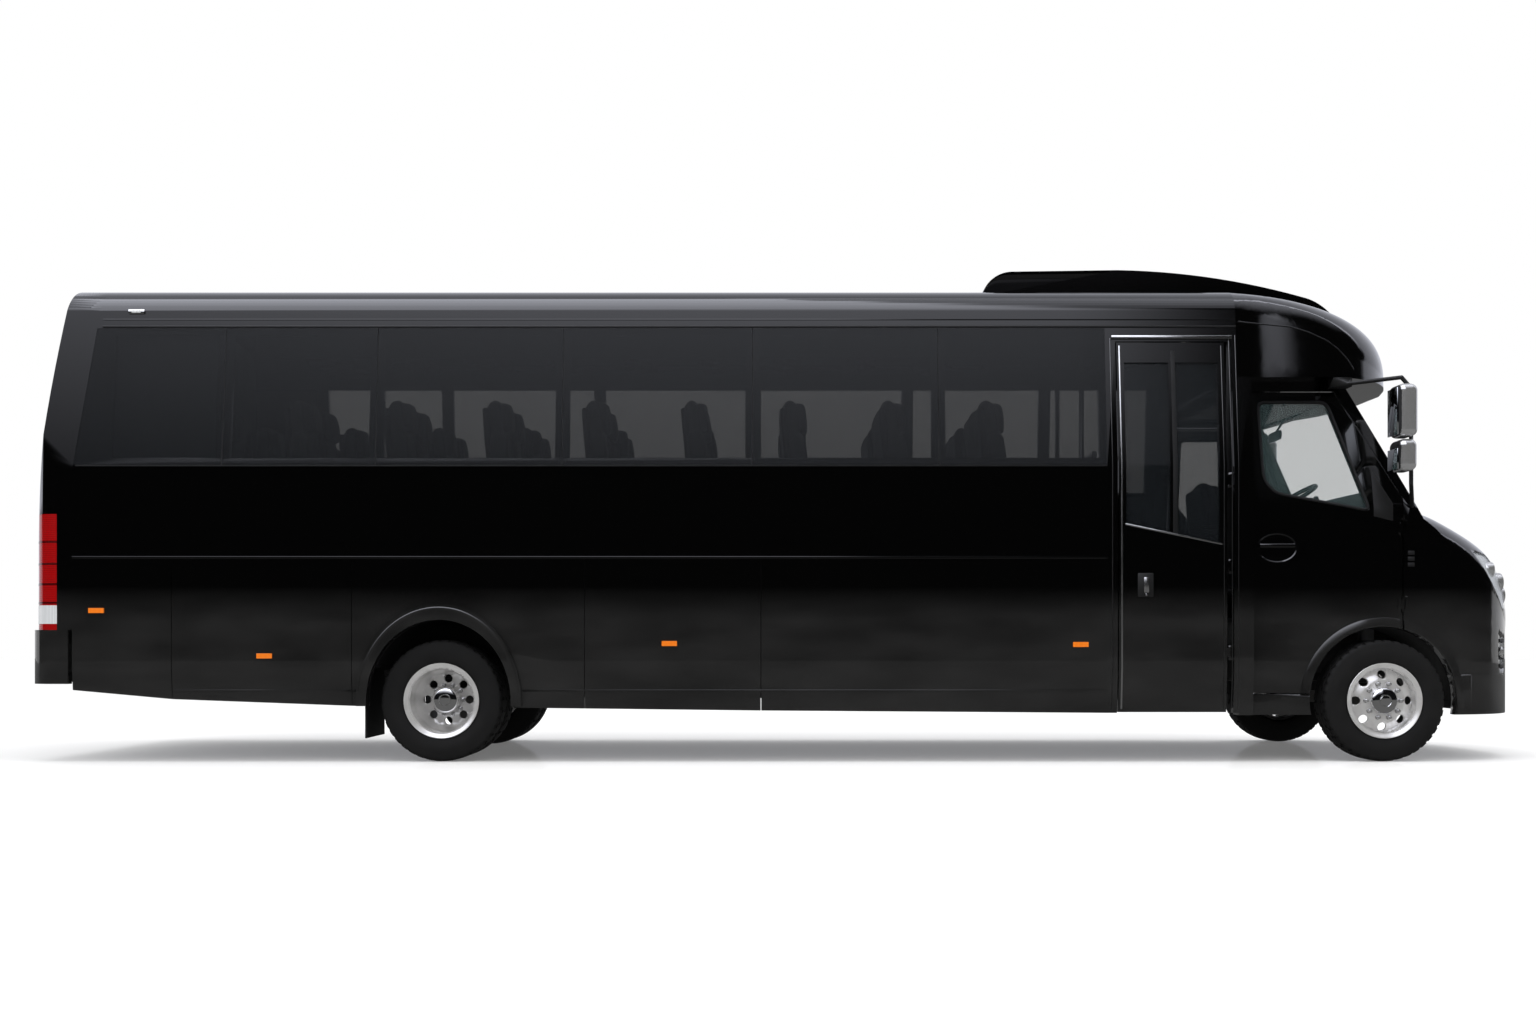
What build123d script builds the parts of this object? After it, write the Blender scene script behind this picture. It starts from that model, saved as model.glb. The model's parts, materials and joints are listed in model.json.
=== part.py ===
"""A mini coach: a long saloon body on a ladder frame, with a bonneted van cab under a domed roof front.

Millimetres. +X forward, +Y to the left, +Z up. The ground is z = 0, the origin is under the middle.
"""

import os
from math import cos, radians, sin, sqrt

from build123d import *

os.makedirs("parts", exist_ok=True)

# Saloon body
HALF_WIDTH = 1175.0
WALL = 50.0
GLASS = 8.0
REAR_X = -4855.0
SALOON_FRONT_X = 2851.0
SKIRT_BOTTOM_Z = 315.0
TUCK_Z = 600.0
TUCK = 25.0
WAIST_Z = 1286.0
WINDOW_Z = 1898.0
GUTTER_Z = 2785.0
TUMBLEHOME = 90.0
EAVES_RISE = 115.0
SIDE_TOP_Z = GUTTER_Z + EAVES_RISE
ROOF_RISE = 200.0
CROWN_Z = SIDE_TOP_Z + ROOF_RISE
REAR_RAKE_Z = 700.0
REAR_RAKE = 190.0
REAR_TOP_RADIUS = 85.0
REAR_TOP_RISE = 4.0
REAR_CORNER = 150.0
SEAM = 4.0
FLOOR_Z = 1200.0
FLOOR_THICK = 60.0

# Side windows: the lines where two panes meet, from the rear cap's seam to the door frame
PANE_LINES = (-3636.0, -2658.0, -1468.0, -255.0, 934.0)
PILLAR_COVER = 45.0
GLAZING_SEAM = 6.0
CAP_SEAM_X = -4588.0
CAP_SEAM_TOP_X = -4435.0
SKIRT_LINES = (-3955.0, -2808.0, -1324.0, -200.0)

# Entry door, in the right side
DOOR_FRAME_X = 2007.0
DOOR_REAR_X = 2081.0
DOOR_FRONT_X = 2770.0
DOOR_BOTTOM_Z = 320.0
DOOR_TOP_Z = 2690.0
DOOR_GAP = 8.0
DOOR_JAMB = 36.0
MULLION = 34.0

# Wheels and axles
TYRE_RADIUS = 391.0
TYRE_WIDTH = 225.0
RIM_RADIUS = 222.0
FRONT_AXLE_X = 3800.0
REAR_AXLE_X = -2250.0
WHEEL_PLANE_Y = 1003.0
TWIN_SPACING = 262.0
KINGPIN_Y = 880.0
KINGPIN_RADIUS = 20.0
SPINDLE_RADIUS = 30.0
HALF_SHAFT_RADIUS = 40.0
RUNNING_CLEARANCE = 0.3
HAND_HOLES = 8

# Ladder frame
RAIL_INNER_Y = 345.0
RAIL_WIDTH = 80.0
RAIL_BOTTOM_Z = 560.0
RAIL_HEIGHT = 200.0
RAIL_REAR_X = -4650.0
RAIL_FRONT_X = 4600.0

# Cab
CAB_HALF = 1090.0
CAB_REAR_X = 2941.0
CAB_BOTTOM_Z = 300.0
CAB_WALL = 60.0
NOSE_X = 4895.0
NOSE_STATIONS = (
    # behind the tip, narrowing, fall of the flat side, fall of the crown
    (905.0, 0.0, 10.0, 0.0),
    (718.0, 0.0, 170.0, 6.0),
    (495.0, 55.0, 370.0, 72.0),
    (295.0, 165.0, 550.0, 165.0),
    (155.0, 338.0, 710.0, 280.0),
    (45.0, 590.0, 810.0, 460.0),
    (0.0, 890.0, 870.0, 650.0),
)
SCREEN_SINK = 150.0
COWL_X = 4177.0
COWL_Z = 1610.0
SCREEN_RAKE = 0.56
SCREEN_BULGE = 147.0
CAB_LEAN = 0.20
CAB_LEAN_Z = 1634.0
CAB_DOOR_REAR_X = 2962.0
CAB_DOOR_FRONT_X = 3921.0
CAB_DOOR_BOTTOM_Z = 440.0
CAB_DOOR_TOP_Z = 2395.0
CAB_DOOR_GAP = 8.0
CAB_FLOOR_Z = 930.0
FIREWALL_X = 4020.0
FRONT_ARCH_RADIUS = 475.0
PILLAR_WIDTH = 100.0
BONNET_HALF = 830.0
BONNET_FRONT_Z = 1290.0
BONNET_GAP = 8.0
BONNET_REAR_GAP = 20.0
BONNET_HINGE_Y = 290.0
BUMPER_TOP_Z = 560.0
BUMPER_REAR_X = 4367.0

# Roof dome over the cab
DOME_Z = 2468.0
DOME_WALL = 45.0

# Rear
BUMPER_REACH = 40.0
REAR_BUMPER_Z = 500.0
REAR_BUMPER_TOP_Z = 845.0
REAR_BUMPER_SEAM_X = -4615.0
BOOT_HALF = 520.0
BOOT_BOTTOM_Z = 930.0
BOOT_TOP_Z = 1700.0
BOOT_GAP = 8.0

# Hinges
HINGE_LENGTH = 60.0
HINGE_RADIUS = 8.0
HINGE_CLEAR = 15.0
PIN_RADIUS = 4.0
HINGE_LUG = 18.0
HINGE_PLAY = 0.5
HINGE_ARM = 34.0

TUMBLE_SLOPE = TUMBLEHOME / (GUTTER_Z - WINDOW_Z)
FAR = 3000.0
SIDES = (("left", 1), ("right", -1))


def block(x, y, z, mode=Mode.ADD):
    """Box between two corners, each axis given as (low, high)."""
    with Locations(((x[0] + x[1]) / 2, (y[0] + y[1]) / 2, (z[0] + z[1]) / 2)):
        Box(x[1] - x[0], y[1] - y[0], z[1] - z[0], mode=mode)


def span(side, inner, outer):
    """Low and high y of a piece on one side, from its distances to the centre line."""
    return (inner, outer) if side > 0 else (-outer, -inner)


def rod(start, end, radius, mode=Mode.ADD):
    """Round bar between two points."""
    run = Vector(*end) - Vector(*start)
    with Locations(Plane(origin=start, z_dir=run)):
        Cylinder(radius, run.length, align=(Align.CENTER, Align.CENTER, Align.MIN), mode=mode)


def side_prism(outline, y):
    """Solid with an outline drawn in side view as (x, z), over a span of y."""
    with BuildPart() as prism:
        with BuildSketch(Plane.XZ.offset(-y[1])):
            with BuildLine():
                Polyline(*outline, close=True)
            make_face()
        extrude(amount=y[1] - y[0])
    return prism.part


def finish(builder, name):
    """Label a finished piece and write it."""
    builder.part.label = name
    export_step(builder.part, f"parts/{name}.step")


def side_half(z):
    """Half width of the saloon at a height."""
    if z < TUCK_Z:
        return HALF_WIDTH - TUCK * (TUCK_Z - z) / (TUCK_Z - SKIRT_BOTTOM_Z)
    return HALF_WIDTH - max(0.0, z - WINDOW_Z) * TUMBLE_SLOPE


def rear_face_x(z):
    """The saloon's rear face, an arc that leans forward above the boot."""
    rise = SIDE_TOP_Z - REAR_RAKE_Z
    radius = (rise**2 + REAR_RAKE**2) / (2 * REAR_RAKE)
    return REAR_X + radius - sqrt(radius**2 - max(0.0, z - REAR_RAKE_Z) ** 2)


def roof_arch(half, side_top, crown):
    """Right shoulder, crown and left shoulder of a roof section, as arcs on the open sketch."""
    edge = (0.8 * half, crown - 0.225 * (crown - side_top))
    bend = (edge[0] + 0.7 * (half - edge[0]), side_top + 0.7 * (edge[1] - side_top))
    ThreePointArc((half, side_top), bend, edge)
    ThreePointArc(edge, (0, crown), (-edge[0], edge[1]))
    ThreePointArc((-edge[0], edge[1]), (-bend[0], bend[1]), (-half, side_top))


def saloon_solid(inset):
    """The saloon filled solid, drawn in by an inset from its outside."""
    foot = side_half(SKIRT_BOTTOM_Z) - inset
    knee = HALF_WIDTH - inset
    shoulder = side_half(SIDE_TOP_Z) - inset
    with BuildPart() as saloon:
        with BuildSketch(Plane.YZ.offset(REAR_X)):
            with BuildLine():
                Polyline(
                    (-shoulder, SIDE_TOP_Z - inset),
                    (-knee, WINDOW_Z),
                    (-knee, TUCK_Z),
                    (-foot, SKIRT_BOTTOM_Z),
                    (foot, SKIRT_BOTTOM_Z),
                    (knee, TUCK_Z),
                    (knee, WINDOW_Z),
                    (shoulder, SIDE_TOP_Z - inset),
                )
                roof_arch(shoulder, SIDE_TOP_Z - inset, CROWN_Z - inset)
            make_face()
        extrude(amount=SALOON_FRONT_X - REAR_X)
        # Side view: the leaning rear face and its rounded top
        top = CROWN_Z - inset + REAR_TOP_RISE
        corner_z = top - REAR_TOP_RADIUS
        middle_z = (REAR_RAKE_Z + corner_z) / 2
        with BuildSketch(Plane.XZ):
            with BuildLine():
                Line((SALOON_FRONT_X, 0), (REAR_X + inset, 0))
                Line((REAR_X + inset, 0), (REAR_X + inset, REAR_RAKE_Z))
                face = ThreePointArc(
                    (REAR_X + inset, REAR_RAKE_Z),
                    (rear_face_x(middle_z) + inset, middle_z),
                    (rear_face_x(corner_z) + inset, corner_z),
                )
                corner = TangentArc(
                    face @ 1, (rear_face_x(corner_z) + inset + REAR_TOP_RADIUS, top), tangent=face % 1
                )
                Line(corner @ 1, (SALOON_FRONT_X, top))
                Line((SALOON_FRONT_X, top), (SALOON_FRONT_X, 0))
            make_face()
        extrude(amount=FAR, both=True, mode=Mode.INTERSECT)
        # Plan view: rounded rear corners
        with BuildSketch(Plane.XY):
            with Locations(((REAR_X + inset + SALOON_FRONT_X) / 2, 0)):
                Rectangle(SALOON_FRONT_X - REAR_X - inset, 2 * (HALF_WIDTH - inset))
            fillet(vertices().group_by(Axis.X)[0], radius=REAR_CORNER - inset)
        extrude(amount=2 * FAR, mode=Mode.INTERSECT)
    return saloon.part


def dome_solid(inset):
    """The roof dome over the cab, lofted through upright sections that shrink towards the front."""
    stations = (
        # ahead of the saloon, narrowing, share of the flat side's height, fall of the crown
        (0, 0, 1.0, 0),
        (400, 0, 0.722, 25),
        (750, 57, 0.398, 115),
        (1000, 257, 0.213, 238),
        (1160, 557, 0.097, 385),
        (1230, 817, 0.039, 500),
    )
    foot = side_half(DOME_Z)
    with BuildPart() as dome:
        for ahead, narrowing, share, fall in stations:
            half = foot - narrowing - inset
            foot_z = DOME_Z + inset * 0.6
            side_top = max(foot_z + 5, DOME_Z + share * (SIDE_TOP_Z - DOME_Z) - inset)
            top_half = half - (side_top - foot_z) * TUMBLE_SLOPE
            back = 0 if ahead == 0 else inset
            with BuildSketch(Plane.YZ.offset(SALOON_FRONT_X + ahead - back)):
                with BuildLine():
                    Polyline((-top_half, side_top), (-half, foot_z), (half, foot_z), (top_half, side_top))
                    roof_arch(top_half, side_top, CROWN_Z - fall - inset)
                make_face()
        loft()
    return dome.part


def cab_half(z):
    """Half width of the cab at a height."""
    return CAB_HALF - max(0.0, z - CAB_LEAN_Z) * CAB_LEAN


def cab_solid(inset):
    """The cab filled solid: a rounded nose and bonnet, with a leaning screen and roof above them."""
    rear = CAB_REAR_X - inset
    half = CAB_HALF - inset
    bottom = CAB_BOTTOM_Z - inset
    deck = COWL_Z - inset
    with BuildPart() as cab:
        for behind, narrowing, side_fall, crown_fall in NOSE_STATIONS:
            back = 0 if behind == NOSE_STATIONS[0][0] else inset
            station_half = half - narrowing
            side_top = deck - side_fall
            with BuildSketch(Plane.YZ.offset(NOSE_X - behind - back)):
                with BuildLine():
                    Polyline(
                        (-station_half, side_top),
                        (-station_half, bottom),
                        (station_half, bottom),
                        (station_half, side_top),
                    )
                    roof_arch(station_half, side_top, deck - crown_fall)
                make_face()
        loft()
        block((rear, NOSE_X - NOSE_STATIONS[0][0]), (-half, half), (bottom, deck))
        # Screen, side glass and roof lean back and inwards
        screen_x = COWL_X - 1.15 * inset + SCREEN_RAKE * (inset + SCREEN_SINK)
        rise = DOME_Z - inset - deck + SCREEN_SINK
        with BuildSketch(Plane.XY.offset(deck - SCREEN_SINK)):
            with BuildLine():
                Polyline(
                    (screen_x - SCREEN_BULGE, -CAB_HALF),
                    (rear, -CAB_HALF),
                    (rear, CAB_HALF),
                    (screen_x - SCREEN_BULGE, CAB_HALF),
                )
                ThreePointArc(
                    (screen_x - SCREEN_BULGE, CAB_HALF), (screen_x, 0), (screen_x - SCREEN_BULGE, -CAB_HALF)
                )
            make_face()
        lean = Vector(-SCREEN_RAKE, 0, 1)
        extrude(amount=rise * lean.length, dir=lean)
        block((CAB_REAR_X - inset - FAR, CAB_REAR_X - inset), (-FAR, FAR), (0, FAR), mode=Mode.SUBTRACT)
        block((CAB_REAR_X - inset, CAB_REAR_X + 400), (-half, half), (deck, DOME_Z - inset))
        top_half = cab_half(DOME_Z) - inset
        with BuildSketch(Plane.YZ.offset(rear)):
            with BuildLine():
                Polyline(
                    (-top_half, DOME_Z),
                    (-half, CAB_LEAN_Z),
                    (-half, bottom),
                    (half, bottom),
                    (half, CAB_LEAN_Z),
                    (top_half, DOME_Z),
                    close=True,
                )
            make_face()
        extrude(amount=FAR, mode=Mode.INTERSECT)
    return cab.part


def shell_between(outer, inner):
    """What lies inside one solid and outside another."""
    with BuildPart() as shell:
        add(outer)
        add(inner, mode=Mode.SUBTRACT)
    return shell.part


def hinge_leaf(plane):
    """The moving half of a hinge: x of the plane points into the leaf, z runs along the pin."""
    with Locations(plane):
        Cylinder(HINGE_CLEAR, HINGE_LENGTH + 2 * (HINGE_LUG + HINGE_PLAY) + 12, mode=Mode.SUBTRACT)
        Cylinder(HINGE_RADIUS, HINGE_LENGTH)
        Box(HINGE_ARM, 1.5 * HINGE_RADIUS, HINGE_LENGTH, align=(Align.MIN, Align.CENTER, Align.CENTER))
        Cylinder(PIN_RADIUS + RUNNING_CLEARANCE, HINGE_LENGTH, mode=Mode.SUBTRACT)


def hinge_body(plane):
    """The fixed half of a hinge: x of the plane points into the body, with a lug at each end of the pin."""
    lug_at = HINGE_LENGTH / 2 + HINGE_PLAY + HINGE_LUG / 2
    with Locations(plane):
        Cylinder(HINGE_CLEAR, HINGE_LENGTH + 2 * (HINGE_LUG + HINGE_PLAY) + 12, mode=Mode.SUBTRACT)
        with Locations((-HINGE_RADIUS, 0, lug_at), (-HINGE_RADIUS, 0, -lug_at)):
            Box(
                HINGE_ARM + HINGE_RADIUS,
                1.5 * HINGE_RADIUS,
                HINGE_LUG,
                align=(Align.MIN, Align.CENTER, Align.CENTER),
            )
        Cylinder(PIN_RADIUS, HINGE_LENGTH + 2 * (HINGE_PLAY + HINGE_LUG))


# The saloon's skins
saloon_outside = saloon_solid(0)
saloon_behind_glass = saloon_solid(GLASS)
saloon_inside = saloon_solid(WALL)
saloon_shell = shell_between(saloon_outside, saloon_inside)
glass_skin = shell_between(saloon_outside, saloon_behind_glass)

cap_outline = (
    (REAR_X - 100, 0),
    (CAP_SEAM_X, 0),
    (CAP_SEAM_X, WINDOW_Z - 46),
    (CAP_SEAM_TOP_X, CROWN_Z - 90),
    (CAP_SEAM_TOP_X, CROWN_Z + 100),
    (REAR_X - 100, CROWN_Z + 100),
)
cap_zone = side_prism(cap_outline, (-FAR, FAR))


# Side walls above the waist, with the glass bonded over their window openings
pane_edges = {
    1: (*PANE_LINES, DOOR_FRAME_X, SALOON_FRONT_X),
    -1: (*PANE_LINES, DOOR_FRAME_X),
}
window_bands = []
pane_seams = []
for side_name, side in SIDES:
    wall_end = pane_edges[side][-1]
    with BuildPart() as window_band:
        add(glass_skin)
        block((REAR_X, wall_end), span(side, 400, FAR), (WINDOW_Z, GUTTER_Z), mode=Mode.INTERSECT)
        add(cap_zone, mode=Mode.SUBTRACT)

    with BuildPart() as wall:
        add(saloon_shell)
        block((REAR_X - 100, wall_end), span(side, 400, FAR), (WAIST_Z, GUTTER_Z), mode=Mode.INTERSECT)
        add(cap_zone, mode=Mode.SUBTRACT)
        add(window_band.part, mode=Mode.SUBTRACT)
        pane_rear = CAP_SEAM_X + 200
        for pane_front in pane_edges[side]:
            block(
                (pane_rear + PILLAR_COVER, pane_front - PILLAR_COVER),
                span(side, 400, FAR),
                (WINDOW_Z + PILLAR_COVER, GUTTER_Z - PILLAR_COVER),
                mode=Mode.SUBTRACT,
            )
            pane_rear = pane_front
    finish(wall, f"{side_name}_wall")

    for pane_front in pane_edges[side][:-1]:
        seam = (pane_front - GLAZING_SEAM / 2, pane_front + GLAZING_SEAM / 2)
        with BuildPart() as pane_seam:
            block(seam, (-FAR, FAR), (WINDOW_Z, GUTTER_Z))
        pane_seams.append(pane_seam.part)
    window_bands.append(window_band.part)

# Skirt panels below the waist, rising to the rear and cut for the rear wheels
SKIRT_RISE = (
    # along, rise of the foot above its front end
    (-4600.0, 147.0),
    (-3955.0, 88.0),
    (-2808.0, 45.0),
    (-200.0, 15.0),
    (2007.0, 0.0),
)
skirt_foot = tuple((along, SKIRT_BOTTOM_Z + rise) for along, rise in SKIRT_RISE)
skirt_waste = side_prism(((skirt_foot[0][0], 0), *skirt_foot, (skirt_foot[-1][0], 0)), (-FAR, FAR))
ARCH_HALF = 460.0
ARCH_RISE = 518.0
FLARE_HALF = 524.0
FLARE_RISE = 620.0
FLARE_REACH = 25.0
FLARE_BOTTOM_Z = 360.0
SKIRT_INNER = 900.0


def arch_sketch(half, rise, mode=Mode.ADD):
    """Half an ellipse over a rear wheel, with straight legs down to the ground."""
    with Locations((REAR_AXLE_X, TYRE_RADIUS)):
        Ellipse(half, rise, mode=mode)
    with Locations((REAR_AXLE_X, TYRE_RADIUS / 2)):
        Rectangle(2 * half, TYRE_RADIUS, mode=mode)


with BuildPart() as skirt_panels:
    add(saloon_shell)
    block((CAP_SEAM_X, SALOON_FRONT_X), (-FAR, FAR), (0, WAIST_Z), mode=Mode.INTERSECT)
    block((DOOR_FRAME_X, SALOON_FRONT_X), (-FAR, 0), (0, WAIST_Z), mode=Mode.SUBTRACT)
    block((CAP_SEAM_X, SALOON_FRONT_X), (-SKIRT_INNER, SKIRT_INNER), (0, WAIST_Z), mode=Mode.SUBTRACT)
    for line in SKIRT_LINES:
        block((line - SEAM / 2, line + SEAM / 2), (-FAR, FAR), (0, WAIST_Z), mode=Mode.SUBTRACT)
    with BuildSketch(Plane.XZ):
        arch_sketch(ARCH_HALF, ARCH_RISE)
    extrude(amount=FAR, both=True, mode=Mode.SUBTRACT)
    add(skirt_waste, mode=Mode.SUBTRACT)
finish(skirt_panels, "skirt_panels")

with BuildPart() as rear_arch_flares:
    for side_name, side in SIDES:
        outer_y = side * (HALF_WIDTH + FLARE_REACH)
        with BuildSketch(Plane.XZ.offset(-outer_y)):
            arch_sketch(FLARE_HALF, FLARE_RISE)
            arch_sketch(ARCH_HALF, ARCH_RISE, mode=Mode.SUBTRACT)
            with Locations((REAR_AXLE_X, 0)):
                Rectangle(4 * FLARE_HALF, 2 * FLARE_BOTTOM_Z, mode=Mode.SUBTRACT)
        extrude(amount=side * 2 * FLARE_REACH)
    add(saloon_outside, mode=Mode.SUBTRACT)
finish(rear_arch_flares, "rear_arch_flares")

# Roof between the rear cap and the dome
with BuildPart() as roof_shell:
    add(saloon_shell)
    block((REAR_X, SALOON_FRONT_X), (-FAR, FAR), (GUTTER_Z, CROWN_Z + 100), mode=Mode.INTERSECT)
    add(cap_zone, mode=Mode.SUBTRACT)
finish(roof_shell, "roof_shell")

# Rear cap with its window and boot opening; the lamps take its lower corners
LAMP_Z = (REAR_BUMPER_TOP_Z, 1583.0)
LAMP_FRONT_X = -4685.0
LAMP_INNER_Y = 985.0
REAR_WINDOW_HALF = 820.0
REAR_WINDOW_Z = (1930.0, 2640.0)
lamp_x = (REAR_X - 10, LAMP_FRONT_X)
with BuildPart() as rear_pane:
    add(glass_skin)
    block(
        (REAR_X - 100, REAR_X + 400),
        (-REAR_WINDOW_HALF, REAR_WINDOW_HALF),
        REAR_WINDOW_Z,
        mode=Mode.INTERSECT,
    )

with BuildPart() as saloon_windows:
    add(window_bands)
    add(pane_seams, mode=Mode.SUBTRACT)
    add(rear_pane.part)
finish(saloon_windows, "saloon_windows")

with BuildPart() as rear_cap:
    add(saloon_shell)
    add(cap_zone, mode=Mode.INTERSECT)
    block((REAR_X - 100, 0), (-FAR, FAR), (REAR_BUMPER_TOP_Z, FAR * 2), mode=Mode.INTERSECT)
    for side_name, side in SIDES:
        block(lamp_x, span(side, LAMP_INNER_Y, FAR), LAMP_Z, mode=Mode.SUBTRACT)
    block(
        (REAR_X - 100, REAR_X + 400),
        (-BOOT_HALF - BOOT_GAP, BOOT_HALF + BOOT_GAP),
        (BOOT_BOTTOM_Z - BOOT_GAP, BOOT_TOP_Z + BOOT_GAP),
        mode=Mode.SUBTRACT,
    )
    add(rear_pane.part, mode=Mode.SUBTRACT)
    block(
        (REAR_X - 100, REAR_X + 400),
        (PILLAR_COVER - REAR_WINDOW_HALF, REAR_WINDOW_HALF - PILLAR_COVER),
        (REAR_WINDOW_Z[0] + PILLAR_COVER, REAR_WINDOW_Z[1] - PILLAR_COVER),
        mode=Mode.SUBTRACT,
    )
    boot_hinge_z = BOOT_TOP_Z + BOOT_GAP / 2
    boot_hinge_x = rear_face_x(boot_hinge_z)
    for hinge_y in (-0.6 * BOOT_HALF, 0.6 * BOOT_HALF):
        hinge_body(Plane(origin=(boot_hinge_x, hinge_y, boot_hinge_z), x_dir=(0, 0, 1), z_dir=(0, 1, 0)))
finish(rear_cap, "rear_cap")

with BuildPart() as boot_lid:
    add(saloon_shell)
    block(
        (REAR_X - 100, REAR_X + 400),
        (-BOOT_HALF, BOOT_HALF),
        (BOOT_BOTTOM_Z, BOOT_TOP_Z),
        mode=Mode.INTERSECT,
    )
    for hinge_y in (-0.6 * BOOT_HALF, 0.6 * BOOT_HALF):
        hinge_leaf(Plane(origin=(boot_hinge_x, hinge_y, boot_hinge_z), x_dir=(0, 0, -1), z_dir=(0, 1, 0)))
finish(boot_lid, "boot_lid")

with BuildPart() as lamp_corners:
    for side in (1, -1):
        block(lamp_x, span(side, LAMP_INNER_Y, FAR), LAMP_Z)

with BuildPart() as tail_lamps:
    add(lamp_corners.part)
    add(saloon_outside, mode=Mode.INTERSECT)
    add(saloon_inside, mode=Mode.SUBTRACT)
finish(tail_lamps, "tail_lamps")

with BuildPart() as rear_bumper:
    for grow, mode in ((0, Mode.ADD), (CAB_WALL, Mode.SUBTRACT)):
        bumper_x = REAR_X - BUMPER_REACH + grow
        with BuildSketch(Plane.XY.offset(REAR_BUMPER_Z)):
            with Locations(((bumper_x + REAR_BUMPER_SEAM_X) / 2 + grow, 0)):
                Rectangle(REAR_BUMPER_SEAM_X - bumper_x + 2 * grow, 2 * (HALF_WIDTH - grow))
            fillet(vertices().group_by(Axis.X)[0], radius=REAR_CORNER + BUMPER_REACH - grow)
        extrude(amount=REAR_BUMPER_TOP_Z - REAR_BUMPER_Z, mode=mode)
    for side in (1, -1):
        block(
            (REAR_X - BUMPER_REACH + CAB_WALL - 10, RAIL_REAR_X),
            span(side, RAIL_INNER_Y, RAIL_INNER_Y + RAIL_WIDTH),
            (RAIL_BOTTOM_Z + 20, RAIL_BOTTOM_Z + RAIL_HEIGHT - 20),
        )
    block((REAR_BUMPER_SEAM_X, 0), (-FAR, FAR), (0, FAR), mode=Mode.SUBTRACT)
finish(rear_bumper, "rear_bumper")

# Amber marker lamps along the skirts
MARKER_SIZE = (98.0, 10.0, 32.0)
MARKERS = (
    # along, up
    (-4432.0, 968.0),
    (-3362.0, 679.0),
    (-783.0, 758.0),
    (1836.0, 752.0),
)
with BuildPart() as side_markers:
    for side in (1, -1):
        for along, up in MARKERS:
            with Locations((along, side * (HALF_WIDTH + MARKER_SIZE[1] / 2), up)):
                Box(*MARKER_SIZE)
finish(side_markers, "side_markers")

# Entry door, hinged at its front edge, in a frame with jambs and a header
entry_hinge_x = DOOR_FRONT_X + 20
entry_hinge_y = -(HALF_WIDTH - HINGE_RADIUS - 4)
ENTRY_HINGES_Z = (700.0, 1250.0, 1800.0)
with BuildPart() as door_frame:
    add(saloon_shell)
    block(
        (DOOR_FRAME_X, SALOON_FRONT_X),
        span(-1, 400, FAR),
        (DOOR_BOTTOM_Z - DOOR_GAP, GUTTER_Z),
        mode=Mode.INTERSECT,
    )
    block(
        (DOOR_REAR_X - DOOR_GAP, SALOON_FRONT_X - DOOR_JAMB),
        span(-1, 400, FAR),
        (0, DOOR_TOP_Z + DOOR_GAP),
        mode=Mode.SUBTRACT,
    )
    for hinge_z in ENTRY_HINGES_Z:
        hinge_body(Plane(origin=(entry_hinge_x, entry_hinge_y, hinge_z), x_dir=(1, 0, 0), z_dir=(0, 0, 1)))
finish(door_frame, "door_frame")

DOOR_GLASS_REAR_Z = 1526.0
DOOR_GLASS_FRONT_Z = 1380.0
DOOR_GLASS_TOP_Z = 2560.0
DOOR_STILE = 46.0
door_glass_x = (DOOR_REAR_X + DOOR_STILE, DOOR_FRONT_X - DOOR_STILE)
door_middle_x = (door_glass_x[0] + door_glass_x[1]) / 2
door_glass_outline = (
    (door_glass_x[0], DOOR_GLASS_REAR_Z),
    (door_glass_x[1], DOOR_GLASS_FRONT_Z),
    (door_glass_x[1], DOOR_GLASS_TOP_Z),
    (door_glass_x[0], DOOR_GLASS_TOP_Z),
)
door_glass_zone = side_prism(door_glass_outline, (-FAR, 0))
with BuildPart() as door_mullion_zone:
    block(
        (door_middle_x - MULLION / 2, door_middle_x + MULLION / 2),
        (-FAR, 0),
        (0, DOOR_GLASS_TOP_Z + 100),
    )
door_panes = shell_between(door_glass_zone, door_mullion_zone.part)
with BuildPart() as entry_door:
    add(saloon_shell)
    block(
        (DOOR_REAR_X, DOOR_FRONT_X),
        span(-1, 400, FAR),
        (DOOR_BOTTOM_Z, DOOR_TOP_Z),
        mode=Mode.INTERSECT,
    )
    add(door_panes, mode=Mode.SUBTRACT)
    for hinge_z in ENTRY_HINGES_Z:
        hinge_leaf(Plane(origin=(entry_hinge_x, entry_hinge_y, hinge_z), x_dir=(-1, 0, 0), z_dir=(0, 0, 1)))
finish(entry_door, "entry_door")

glass_core = shell_between(saloon_solid(2 * GLASS), saloon_solid(3 * GLASS))
with BuildPart() as entry_glass:
    add(glass_core)
    add(door_panes, mode=Mode.INTERSECT)
finish(entry_glass, "entry_glass")

# Saloon floor, stepped down at the entry
STEP_WELL_Y = -480.0
BULKHEAD_X = -4155.0
BULKHEAD = 30.0
BOOT_FLOOR_Z = REAR_BUMPER_TOP_Z + FLOOR_THICK + 5
with BuildPart() as saloon_floor:
    add(saloon_inside)
    block((REAR_X, SALOON_FRONT_X), (-FAR, FAR), (FLOOR_Z - FLOOR_THICK, FLOOR_Z), mode=Mode.INTERSECT)
    block((DOOR_FRAME_X, SALOON_FRONT_X), (-FAR, STEP_WELL_Y), (0, FAR), mode=Mode.SUBTRACT)
    block((REAR_X, BULKHEAD_X), (-FAR, FAR), (0, FAR), mode=Mode.SUBTRACT)
finish(saloon_floor, "saloon_floor")

# Wall behind the last seats, with the floor of the luggage space behind it
with BuildPart() as luggage_bulkhead:
    block((BULKHEAD_X - BULKHEAD, BULKHEAD_X), (-FAR, FAR), (BOOT_FLOOR_Z - FLOOR_THICK, 2 * FAR))
    block((REAR_X, BULKHEAD_X), (-FAR, FAR), (BOOT_FLOOR_Z - FLOOR_THICK, BOOT_FLOOR_Z))
    add(saloon_inside, mode=Mode.INTERSECT)
finish(luggage_bulkhead, "luggage_bulkhead")

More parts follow.
